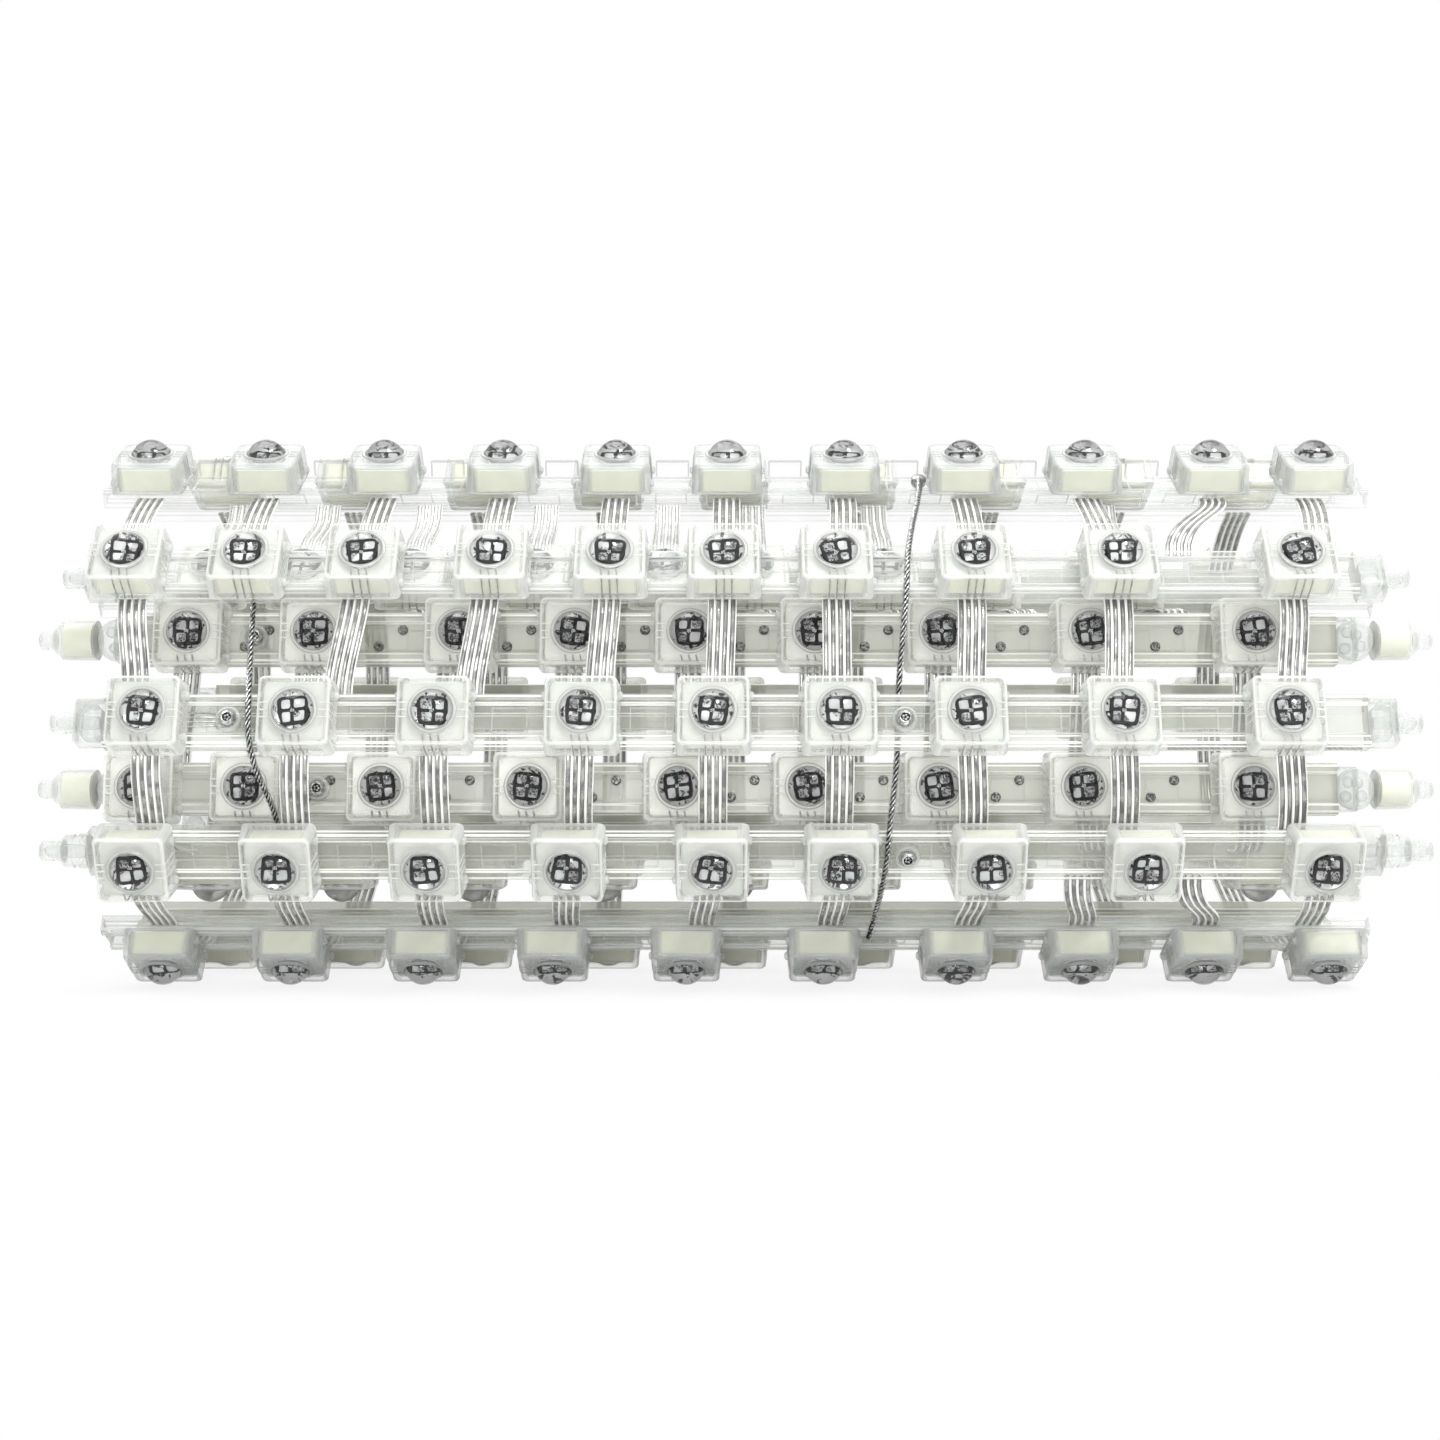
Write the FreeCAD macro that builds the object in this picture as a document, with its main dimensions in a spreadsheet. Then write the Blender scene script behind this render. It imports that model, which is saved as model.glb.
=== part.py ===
import FreeCAD, Part
import math
import os

import Sketcher

# A flexible LED mesh screen, rolled up and lying on its side.
# Each row of the mesh is a clear rail that carries LED modules. A module is a cream potted block
# with an LED chip, under a clear cover with a low lens dome. Flat four-core ribbons run from rail to
# rail, and three wire ropes lace the rails together. The outer turn has ten rows and the inner turn
# four. The roll's axis runs along X, and the side that faces the viewer is -Y.

os.makedirs("parts", exist_ok=True)
doc = FreeCAD.newDocument("rolled_mesh_screen")
sheet = doc.addObject("Spreadsheet::Sheet", "sizes")

Vector = FreeCAD.Vector
Placement = FreeCAD.Placement
Rotation = FreeCAD.Rotation
X_AXIS = Vector(1, 0, 0)


# Driving dimensions, in millimetres and degrees
DRIVING = {
    "rail_length": 456.0,
    "rail_blank_end": 17.0,
    "rail_width": 20.0,
    "rail_depth": 7.0,
    "rail_chamfer": 1.2,
    "recess_width": 12.0,
    "recess_depth": 1.5,
    "slot_width": 8.0,
    "slot_depth": 2.0,
    "cover_width": 27.5,
    "cover_depth": 11.8,
    "cover_draft": 4.0,
    "cover_wall": 2.4,
    "cover_front_wall": 1.5,
    "dome_radius": 8.8,
    "dome_crown_radius": 4.6,
    "dome_height": 5.6,
    "block_clearance": 0.2,
    "block_depth": 9.2,
    "chip_width": 7.6,
    "chip_height": 1.0,
    "ribbon_width": 10.0,
    "ribbon_thickness": 1.4,
    "ribbon_level": 3.6,
    "ribbon_detour": 6.0,
    "rope_diameter": 2.6,
    "rope_clearance": 1.0,
    "rope_bend_radius": 8.0,
    "rope_stop_height": 4.6,
    "boss_radius": 4.6,
    "boss_height": 3.0,
    "ferrule_radius": 2.9,
    "ferrule_height": 2.2,
    "plug_block_length": 11.0,
    "plug_block_height": 17.0,
    "plug_block_depth": 10.0,
    "nub_radius": 3.9,
    "nub_length": 9.0,
    "collar_radius": 6.4,
    "collar_length": 9.5,
    "pin_radius": 3.75,
    "pin_length": 8.5,
    "seal_radius": 8.0,
    "seal_length": 13.0,
    "seal_clearance": 0.1,
    "sealed_block_length": 15.0,
    "tip_radius": 3.5,
    "tip_length": 9.0,
    "outer_face_radius": 105.0,
    "inner_face_radius": 70.0,
}


def even(count, reach):
    """Stations evenly spaced from one end of the rail to the other, as shares of half its length."""
    return tuple(reach * (2.0 * k / (count - 1) - 1.0) for k in range(count))


class Row:
    """One rail of the mesh with its modules.

    polar is where the row lies round the roll, counted from the viewer's side upwards. facing is the
    way its lenses look, which differs from polar because the soft mesh lets each rail twist a little.
    stations are its modules' places as shares of half the rail. ends names its end fittings.
    """

    def __init__(self, number, turn, polar, facing, ends, stations):
        self.number = number
        self.turn = turn
        self.polar = polar
        self.facing = facing
        self.ends = ends
        self.stations = stations
        self.name = f"row_{number:02d}"


ROWS = (
    Row(1, "outer", 73.6, 65.0, "blank",
        (-0.996, -0.80, -0.598, -0.396, -0.203, -0.014, 0.186, 0.389, 0.595, 0.81, 0.986)),
    Row(2, "outer", 34.4, 35.0, "short",
        (-0.976, -0.784, -0.597, -0.392, -0.202, -0.02, 0.16, 0.38, 0.614, 0.90)),
    Row(3, "outer", 0.6, 17.0, "short",
        (-0.928, -0.692, -0.475, -0.244, -0.037, 0.162, 0.366, 0.605, 0.863)),
    Row(4, "outer", -33.3, -23.0, "long",
        (-0.965, -0.734, -0.497, -0.27, -0.039, 0.169, 0.406, 0.655, 0.943)),
    Row(5, "outer", -71.3, -62.0, "blank",
        (-0.972, -0.755, -0.53, -0.31, -0.084, 0.149, 0.375, 0.586, 0.795, 1.005)),
    Row(6, "outer", -108.7, -118.0, "blank", even(9, 0.92)),
    Row(7, "outer", -145.0, -150.0, "short", even(9, 0.92)),
    Row(8, "outer", -181.0, -176.0, "short", even(9, 0.92)),
    Row(9, "outer", -217.0, -219.0, "short", even(9, 0.92)),
    Row(10, "outer", -254.0, -250.0, "blank", even(9, 0.92)),
    Row(11, "inner", -305.0, -310.0, "blank",
        (-0.883, -0.73, -0.547, -0.338, -0.121, 0.032, 0.249, 0.42, 0.66)),
    Row(12, "inner", -333.9, -349.0, "sealed",
        (-0.901, -0.693, -0.455, -0.266, -0.076, 0.13, 0.338, 0.583, 0.852)),
    Row(13, "inner", -383.0, -354.0, "sealed",
        (-0.98, -0.806, -0.582, -0.342, -0.095, 0.118, 0.333, 0.57, 0.848)),
    Row(14, "inner", -447.0, -449.0, "blank", even(9, 0.92)),
)


def fill_sheet():
    """Write every driving dimension to the sheet, with its name beside it."""
    cells = dict(DRIVING)
    for row in ROWS:
        cells[row.name + "_polar"] = row.polar
        cells[row.name + "_facing"] = row.facing
    for line, (name, value) in enumerate(cells.items(), start=1):
        sheet.set(f"A{line}", name)
        sheet.set(f"B{line}", str(value))
        sheet.setAlias(f"B{line}", name)
    doc.recompute()


fill_sheet()


class Size:
    """A size with its number, for placing, and its expression, for binding to the sheet."""

    def __init__(self, number, text):
        self.number = number
        self.text = text

    def __neg__(self):
        return self * -1

    def __add__(self, other):
        other = as_size(other)
        return Size(self.number + other.number, f"({self.text} + {other.text})")

    def __sub__(self, other):
        other = as_size(other)
        return Size(self.number - other.number, f"({self.text} - {other.text})")

    def __mul__(self, other):
        other = as_size(other)
        return Size(self.number * other.number, f"({self.text} * {other.text})")

    def __truediv__(self, other):
        other = as_size(other)
        return Size(self.number / other.number, f"({self.text} / {other.text})")


def as_size(value):
    """The value itself if it is a Size, or a plain number made into one."""
    if isinstance(value, Size):
        return value
    return Size(float(value), f"{float(value):.9f}")


def size(name):
    """The driving dimension with this name."""
    return Size(float(sheet.get(name)), f"sizes.{name}")


# Sizes that follow from the driving ones
cavity_width = size("cover_width") - size("cover_wall") * 2
cavity_depth = size("cover_depth") - size("cover_front_wall")
block_width = cavity_width - size("block_clearance") * 2
fittings_axis = -size("plug_block_depth") / 2
seal_bore_radius = size("tip_radius") + size("seal_clearance")
dome_run = size("dome_radius") - size("dome_crown_radius")
dome_slope = Size(math.degrees(math.atan2(dome_run.number, size("dome_height").number)),
                  f"atan({dome_run.text} / {size('dome_height').text})")


def set_sizes(thing, **sizes):
    """Bind properties of a document object to the sheet."""
    for name, value in sizes.items():
        thing.setExpression(name, as_size(value).text)


def new_body(name):
    """An empty body with this label."""
    body = doc.addObject("PartDesign::Body", name)
    body.Label = name
    return body


def origin_plane(body, role):
    """The body's own origin plane that has this role."""
    return [plane for plane in body.Origin.OriginFeatures if plane.Role == role][0]


def polygon_sketch(body, name, plane, points, offset=0):
    """A closed outline whose corners are bound to the sheet, lying offset above an origin plane."""
    sketch = body.newObject("Sketcher::SketchObject", name)
    sketch.AttachmentSupport = (origin_plane(body, plane), [""])
    sketch.MapMode = "FlatFace"
    sketch.setExpression(".AttachmentOffset.Base.z", as_size(offset).text)
    corners = [(as_size(across), as_size(up)) for across, up in points]
    count = len(corners)
    for k in range(count):
        start = corners[k]
        end = corners[(k + 1) % count]
        sketch.addGeometry(Part.LineSegment(Vector(start[0].number, start[1].number, 0),
                                            Vector(end[0].number, end[1].number, 0)))
    for k in range(count):
        sketch.addConstraint(Sketcher.Constraint("Coincident", k, 2, (k + 1) % count, 1))
    for k, corner in enumerate(corners):
        for kind, place in zip(("DistanceX", "DistanceY"), corner):
            index = sketch.addConstraint(Sketcher.Constraint(kind, -1, 1, k, 1, place.number))
            sketch.setExpression(f"Constraints[{index}]", place.text)
    return sketch


def rectangle(width, height, middle=0):
    """Corners of a rectangle about the axis, its middle raised by middle."""
    middle = as_size(middle)
    low = middle - height / 2
    high = middle + height / 2
    return [(-width / 2, low), (width / 2, low), (width / 2, high), (-width / 2, high)]


def polygon(radius, sides, middle=0):
    """Corners of a regular polygon that is drawn round a circle of this radius, flat side down."""
    middle = as_size(middle)
    corner_radius = radius / math.cos(math.pi / sides)
    corners = []
    for k in range(sides):
        angle = 2 * math.pi * (k + 0.5) / sides - math.pi / 2
        corners.append((corner_radius * math.cos(angle), middle + corner_radius * math.sin(angle)))
    return corners


def pad(body, name, sketch, length, symmetric=False):
    """Raise an outline by length."""
    feature = body.newObject("PartDesign::Pad", name)
    feature.Profile = sketch
    if symmetric:
        feature.SideType = "Symmetric"
    set_sizes(feature, Length=length)
    return feature


# How near two levels count as one, in millimetres
SAME_LEVEL = 1e-4


def level_faces(shape, low, high):
    """Names of the upright faces between two levels, and of the flat face at the lower level."""
    upright = []
    floor = None
    for number, face in enumerate(shape.Faces, start=1):
        box = face.BoundBox
        if box.ZLength < SAME_LEVEL and abs(box.ZMin - low) < SAME_LEVEL:
            floor = f"Face{number}"
        elif box.ZLength > SAME_LEVEL and abs(box.ZMin + box.ZMax - low - high) < SAME_LEVEL:
            upright.append(f"Face{number}")
    return upright, floor


def draw_in(body, name, feature, low, high, angle):
    """Lean the upright faces between two levels inwards by angle degrees, keeping their foot."""
    doc.recompute()
    upright, floor = level_faces(feature.Shape, low.number, high.number)
    volume = feature.Shape.Volume
    lean = body.newObject("PartDesign::Draft", name)
    lean.Base = (feature, upright)
    lean.NeutralPlane = (feature, [floor])
    set_sizes(lean, Angle=angle)
    doc.recompute()
    if lean.Shape.Volume > volume:
        lean.Reversed = not lean.Reversed
        doc.recompute()
    return lean


def make_rail(row):
    """A clear extruded rail: a shallow recess in front, a wire slot behind, chamfered front edges."""
    body = new_body(row.name + "_rail")
    edge = size("rail_width") / 2
    back = -size("rail_depth")
    chamfer = size("rail_chamfer")
    recess = size("recess_width") / 2
    recess_floor = -size("recess_depth")
    slot = size("slot_width") / 2
    slot_floor = back + size("slot_depth")
    outline = [
        (-edge, back), (-slot, back), (-slot, slot_floor), (slot, slot_floor), (slot, back),
        (edge, back), (edge, -chamfer), (edge - chamfer, 0), (recess, 0), (recess, recess_floor),
        (-recess, recess_floor), (-recess, 0), (chamfer - edge, 0), (-edge, -chamfer),
    ]
    length = size("rail_length")
    if row.ends == "blank":
        length = length + size("rail_blank_end") * 2
    profile = polygon_sketch(body, row.name + "_rail_profile", "YZ_Plane", outline)
    pad(body, row.name + "_rail_extrusion", profile, length, symmetric=True)
    return body


def make_cover_form():
    """The clear cover of one module: a drafted box with a faceted lens dome, hollow for the block."""
    body = new_body("cover_form")
    width = size("cover_width")
    depth = size("cover_depth")
    outline = polygon_sketch(body, "cover_outline", "XY_Plane", rectangle(width, width))
    box = pad(body, "cover_box", outline, depth)
    draw_in(body, "cover_draft_faces", box, as_size(0), depth, size("cover_draft"))
    top = depth + size("dome_height")
    rim = polygon_sketch(body, "dome_rim", "XY_Plane", polygon(size("dome_radius"), 8), depth)
    dome = pad(body, "lens_dome", rim, size("dome_height"))
    draw_in(body, "dome_slope", dome, depth, top, dome_slope)
    mouth = polygon_sketch(body, "cavity_outline", "XY_Plane", rectangle(cavity_width, cavity_width))
    cavity = body.newObject("PartDesign::Pocket", "cover_cavity")
    cavity.Profile = mouth
    cavity.Reversed = True
    set_sizes(cavity, Length=cavity_depth)
    return body


def make_block_form():
    """The potted block that fills a cover, standing on the rail's ridges."""
    body = new_body("block_form")
    outline = polygon_sketch(body, "block_outline", "XY_Plane", rectangle(block_width, block_width))
    pad(body, "block_casting", outline, size("block_depth"))
    return body


def make_chip_form():
    """The square LED chip on the middle of a block's face."""
    body = new_body("chip_form")
    width = size("chip_width")
    outline = polygon_sketch(body, "chip_outline", "XY_Plane", rectangle(width, width),
                             size("block_depth"))
    pad(body, "chip_package", outline, size("chip_height"))
    return body


def plug_block(body, name, length):
    """The clear block of an end plug, flush with the rail's front and lying on its end face."""
    outline = rectangle(size("plug_block_height"), size("plug_block_depth"), fittings_axis)
    pad(body, name + "_block", polygon_sketch(body, name + "_outline", "YZ_Plane", outline), length)


def plug_step(body, name, radius, start, length):
    """An eight-sided step of an end plug, from start outwards."""
    outline = polygon_sketch(body, name + "_outline", "YZ_Plane", polygon(radius, 8, fittings_axis),
                             start)
    pad(body, name, outline, length)


def make_short_plug_form():
    """An end plug with a plain nub."""
    body = new_body("short_plug_form")
    length = size("plug_block_length")
    plug_block(body, "short_plug", length)
    plug_step(body, "short_nub", size("nub_radius"), length, size("nub_length"))
    return body


def make_long_plug_form():
    """An end plug with a collar and a round spigot that a hanging bracket or the next panel takes."""
    body = new_body("long_plug_form")
    length = size("plug_block_length")
    plug_block(body, "long_plug", length)
    plug_step(body, "long_collar", size("collar_radius"), length, size("collar_length"))
    circle = body.newObject("Sketcher::SketchObject", "spigot_outline")
    circle.AttachmentSupport = (origin_plane(body, "YZ_Plane"), [""])
    circle.MapMode = "FlatFace"
    set_sizes(circle, **{".AttachmentOffset.Base.z": length + size("collar_length")})
    circle.addGeometry(Part.Circle(Vector(0, fittings_axis.number, 0), Vector(0, 0, 1),
                                   size("pin_radius").number))
    circle.addConstraint(Sketcher.Constraint("PointOnObject", 0, 3, -2))
    height = circle.addConstraint(Sketcher.Constraint("DistanceY", -1, 1, 0, 3, fittings_axis.number))
    radius = circle.addConstraint(Sketcher.Constraint("Radius", 0, size("pin_radius").number))
    circle.setExpression(f"Constraints[{height}]", fittings_axis.text)
    circle.setExpression(f"Constraints[{radius}]", size("pin_radius").text)
    pad(body, "round_spigot", circle, size("pin_length"))
    return body


def make_sealed_plug_form():
    """An end plug of the inner turn: its core passes through a cream seal and ends in a tip."""
    body = new_body("sealed_plug_form")
    length = size("sealed_block_length")
    plug_block(body, "sealed_plug", length)
    plug_step(body, "sealed_core", size("tip_radius"), length, size("seal_length") + size("tip_length"))
    return body


def make_seal_form():
    """The cream seal that sits on a sealed plug's core, against its block."""
    body = new_body("seal_form")
    start = size("sealed_block_length")
    length = size("seal_length")
    plug_step(body, "seal_sleeve", size("seal_radius"), start, length)
    bore_outline = polygon_sketch(body, "seal_bore_outline", "YZ_Plane",
                                  polygon(seal_bore_radius, 8, fittings_axis), start)
    bore = body.newObject("PartDesign::Pocket", "seal_bore")
    bore.Profile = bore_outline
    bore.Reversed = True
    set_sizes(bore, Length=length)
    return body


def make_boss_form():
    """The clear boss that stands in a rail's recess where a rope is fixed."""
    body = new_body("boss_form")
    outline = polygon_sketch(body, "boss_outline", "XY_Plane", polygon(size("boss_radius"), 8),
                             -size("recess_depth"))
    pad(body, "boss_wall", outline, size("boss_height"))
    return body


def make_stop_form():
    """The metal stop crimped on a rope's end, standing in a rail's recess."""
    body = new_body("stop_form")
    outline = polygon_sketch(body, "stop_outline", "XY_Plane", polygon(size("ferrule_radius"), 6),
                             -size("recess_depth"))
    pad(body, "stop_crimp", outline, size("rope_stop_height"))
    return body


def make_ferrule_form():
    """The six-sided metal ferrule on top of a boss."""
    body = new_body("ferrule_form")
    outline = polygon_sketch(body, "ferrule_outline", "XY_Plane", polygon(size("ferrule_radius"), 6),
                             size("boss_height") - size("recess_depth"))
    pad(body, "ferrule_crimp", outline, size("ferrule_height"))
    return body


# Places of the rows

def face_radius(row):
    """How far a row's cover faces lie from the roll's axis."""
    return size(row.turn + "_face_radius").number


def row_turned(row):
    """The turn from a rail's own frame, whose +Z is the way the lenses look, to the roll's."""
    return Rotation(X_AXIS, 90.0 - size(row.name + "_facing").number)


def rail_front(row):
    """The middle of a rail's front, seen from the roll's axis."""
    polar = math.radians(size(row.name + "_polar").number)
    reach = face_radius(row)
    face = Vector(0, -reach * math.cos(polar), reach * math.sin(polar))
    return face - row_turned(row).multVec(Vector(0, 0, size("cover_depth").number))


def cover_reach():
    """The corners of a module's outline, in a rail's own frame, that can be the roll's outermost."""
    depth = size("cover_depth").number
    foot = size("cover_width").number / 2
    brow = foot - depth * math.tan(math.radians(size("cover_draft").number))
    crown = size("dome_crown_radius").number
    rim = size("dome_radius").number
    top = depth + size("dome_height").number
    half_outline = ((foot, 0.0), (brow, depth), (rim, depth), (crown, top))
    return [Vector(0, side * across, up) for across, up in half_outline for side in (-1, 1)]


def roll_offset():
    """The move that stands the roll on Z = 0 with its width centred on Y = 0."""
    corners = [rail_front(row) + row_turned(row).multVec(corner)
               for row in ROWS for corner in cover_reach()]
    across = [corner.y for corner in corners]
    return Vector(0, -(min(across) + max(across)) / 2, -min(corner.z for corner in corners))


ROLL_OFFSET = roll_offset()
HALF_RAIL = size("rail_length").number / 2


def row_place(row):
    """The placement of a rail's own frame in the roll's."""
    return Placement(rail_front(row) + ROLL_OFFSET, row_turned(row))


def station(row, index):
    """How far along the rail a module stands; the first has index 0."""
    return row.stations[index] * HALF_RAIL


def group(name, shapes):
    """A node that holds like pieces as separate solids."""
    node = doc.addObject("Part::Feature", name)
    node.Label = name
    node.Shape = Part.makeCompound(shapes)
    return node


# The sine of the angle within which four corners count as lying in a plane
FLATNESS = 1e-6


def flat_faces(loop):
    """One face on these corners if they lie in a plane, or else two triangles."""
    first, second, third, last = loop
    normal = (second - first).cross(third - first)
    if abs(normal.dot(last - first)) < FLATNESS * normal.Length:
        loops = [loop]
    else:
        loops = [[first, second, third], [first, third, last]]
    return [Part.Face(Part.makePolygon(corners + corners[:1])) for corners in loops]


def banded_solid(sections):
    """A solid with flat faces through sections that have the same number of corners."""
    faces = []
    for near, far in zip(sections, sections[1:]):
        count = len(near)
        for k in range(count):
            follow = (k + 1) % count
            faces += flat_faces([near[k], near[follow], far[follow], far[k]])
    for end in (sections[0], sections[-1]):
        faces.append(Part.Face(Part.makePolygon(end + end[:1])))
    solid = Part.makeSolid(Part.makeShell(faces))
    if solid.Volume < 0:
        solid.reverse()
    return solid


def copy_of(form, place):
    """A copy of a form's solid at this placement."""
    shape = form.Shape.copy()
    shape.Placement = place
    return shape


def at_stations(form, row):
    """A form repeated at each module of a row."""
    place = row_place(row)
    return [copy_of(form, place * Placement(Vector(station(row, k), 0, 0), Rotation()))
            for k in range(len(row.stations))]


def at_both_ends(form, row):
    """A form at each end of a rail, the left one turned about so that it points outwards."""
    place = row_place(row)
    right = place * Placement(Vector(HALF_RAIL, 0, 0), Rotation())
    left = place * Placement(Vector(-HALF_RAIL, 0, 0), Rotation(Vector(0, 0, 1), 180))
    return [copy_of(form, left), copy_of(form, right)]


# Ribbons

def ribbon_section(row, along, across, level, outward=(0, 1)):
    """The corners of a ribbon's section in a rail's own frame; outward is its outer face's way."""
    half = size("ribbon_width").number / 2
    thick = size("ribbon_thickness").number / 2
    middle = Vector(along, across, level)
    lift = Vector(0, outward[0], outward[1]) * thick
    aside = Vector(half, 0, 0)
    place = row_place(row)
    corners = [middle - aside - lift, middle + aside - lift, middle + aside + lift, middle - aside + lift]
    return [place.multVec(corner) for corner in corners]


def at_rail_side(row, along, side):
    """A ribbon's section on a rail's upper (+1) or lower (-1) side."""
    return ribbon_section(row, along, side * size("rail_width").number / 2,
                          -size("ribbon_level").number)


def ribbon(upper_row, upper_along, lower_row, lower_along):
    """A flat ribbon from one rail's lower side to the next rail's upper side."""
    return banded_solid([at_rail_side(upper_row, upper_along, -1),
                         at_rail_side(lower_row, lower_along, 1)])


# The way a link ribbon's outer face looks where it rounds a cover, halfway between its two runs
DETOUR_LEAN = (-0.92, 0.38)


def link_ribbon(outer_row, inner_row, along):
    """A ribbon from the back of an outer rail, round the edge of a cover, to an inner rail's side."""
    behind = size("slot_width").number / 2 + size("ribbon_thickness").number
    beside = size("cover_width").number / 2 + size("ribbon_detour").number
    return banded_solid([
        ribbon_section(outer_row, along, -behind, -size("rail_depth").number, (-1, 0)),
        ribbon_section(inner_row, along, beside, size("ribbon_level").number, DETOUR_LEAN),
        at_rail_side(inner_row, along, 1),
    ])


# How far a ribbon's upper and lower end lie towards each other from their modules' middles, as shares
# of the step along the rails between the two modules
RIBBON_LEAD = (0.15, 0.6)


def ribbons_between(upper_row, lower_row, pairs):
    """Ribbons between the modules that pairs names, counted from 1."""
    shapes = []
    for upper, lower in pairs:
        start = station(upper_row, upper - 1)
        end = station(lower_row, lower - 1)
        step = end - start
        shapes.append(ribbon(upper_row, start + RIBBON_LEAD[0] * step,
                             lower_row, end - RIBBON_LEAD[1] * step))
    return shapes


def same_numbers(last):
    """Pairs of modules with the same number in both rows."""
    return [(k, k) for k in range(1, last + 1)]


# Where the photographed ribbons skip a module or start at bare rail
OUTER_PAIRS = {
    1: same_numbers(9) + [(11, 10)],
    2: [(1, 1)] + [(k + 1, k) for k in range(2, 10)],
    3: same_numbers(9),
    4: same_numbers(7) + [(9, 10)],
    5: same_numbers(8) + [(10, 9)],
    6: same_numbers(9),
    7: same_numbers(9),
    8: same_numbers(9),
    9: same_numbers(9),
}
BARE_RAIL_STARTS = ((2, 0.72, 1, 10), (4, 0.555, 5, 8), (4, 0.735, 5, 9))


def make_outer_ribbons():
    """Every ribbon of the outer turn."""
    shapes = []
    for number, pairs in OUTER_PAIRS.items():
        shapes += ribbons_between(ROWS[number - 1], ROWS[number], pairs)
    for bare_number, share, module_number, module in BARE_RAIL_STARTS:
        bare_row = ROWS[bare_number - 1]
        module_row = ROWS[module_number - 1]
        ends = [(bare_row, share * HALF_RAIL), (module_row, station(module_row, module - 1))]
        ends.sort(key=lambda end: end[0].number)
        (upper, upper_along), (lower, lower_along) = ends
        shapes.append(ribbon(upper, upper_along, lower, lower_along))
    return group("outer_ribbons", shapes)


def make_link_ribbons():
    """The ribbons that step from the outer turn's last rail to the inner turn's first."""
    outer_row = ROWS[9]
    inner_row = ROWS[10]
    return group("link_ribbons", [link_ribbon(outer_row, inner_row, station(inner_row, k))
                                  for k in range(len(inner_row.stations))])


def make_inner_ribbons():
    """Every ribbon of the inner turn."""
    shapes = []
    for upper, lower in zip(ROWS[10:13], ROWS[11:14]):
        shapes += ribbons_between(upper, lower, same_numbers(9))
    return group("inner_ribbons", shapes)


# Ropes

# Where ropes are fixed: a rail, a module on it, and a share of the free gap that follows it
ROPE_FIXINGS = ((ROWS[2], 1, 0.56), (ROWS[2], 6, 0.52), (ROWS[3], 6, 0.40), (ROWS[11], 1, 0.49),
                (ROWS[12], 2, 0.50))
# Where the long rope starts: a rail, a module on it, the side of the module and how far past its edge
ROPE_STOP = (ROWS[0], 8, -1, 3.4)


def past_module(row, module, side, gap):
    """A place along a rail, gap past a module's right (+1) or left (-1) edge."""
    return station(row, module - 1) + side * (size("cover_width").number / 2 + gap)


def beside_rail(row, along, side, behind=False, lift=0.0):
    """A rope's point in front of a rail or behind it; side is +1 at its upper edge, -1 at its lower."""
    reach = size("rope_diameter").number / 2 + size("rope_clearance").number + lift
    level = -size("rail_depth").number - reach if behind else reach
    across = side * size("rail_width").number / 2
    return row_place(row).multVec(Vector(along, across, level))


def rounded_path(points):
    """The route with each corner as its bend's first and last point, and the bends' radii."""
    path = [points[0]]
    radii = []
    for before, corner, after in zip(points, points[1:], points[2:]):
        inward = (before - corner).normalize()
        outward = (after - corner).normalize()
        half_turn = (math.pi - inward.getAngle(outward)) / 2
        shorter = min((before - corner).Length, (after - corner).Length)
        setback = min(size("rope_bend_radius").number * math.tan(half_turn), 0.45 * shorter)
        path += [corner + inward * setback, corner + outward * setback]
        radii.append(setback / math.tan(half_turn))
    return path + [points[-1]], radii


def onto_plane(corner, way, origin, normal):
    """Where a line through corner along way meets the plane through origin."""
    return corner + way * ((origin - corner).dot(normal) / way.dot(normal))


def rope(name, points):
    """A wire rope along these points: a six-sided solid, mitred where it turns."""
    path, radii = rounded_path(points)
    ways = [(end - start).normalize() for start, end in zip(path, path[1:])]
    radius = size("rope_diameter").number / 2
    turn = Rotation(Vector(0, 0, 1), ways[0])
    section = [path[0] + turn.multVec(Vector(radius * math.cos(k * math.pi / 3),
                                             radius * math.sin(k * math.pi / 3), 0))
               for k in range(6)]
    sections = [section]
    for point, way, next_way in zip(path[1:], ways, ways[1:] + ways[-1:]):
        mitre = (way + next_way).normalize()
        section = [onto_plane(corner, way, point, mitre) for corner in section]
        sections.append(section)
    solid = banded_solid(sections)
    length = sum((end - start).Length for start, end in zip(path, path[1:]))
    expected = Part.Face(Part.makePolygon(sections[0] + sections[0][:1])).Area * length
    print(name, "length", round(length, 1), "volume against section times length",
          round(solid.Volume / expected, 4), "radii", [round(value, 1) for value in radii])
    return group(name, [solid])


# The room between the long rope's end and its stop, as a share of half the rail's width
STOP_GAP = 0.03


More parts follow.
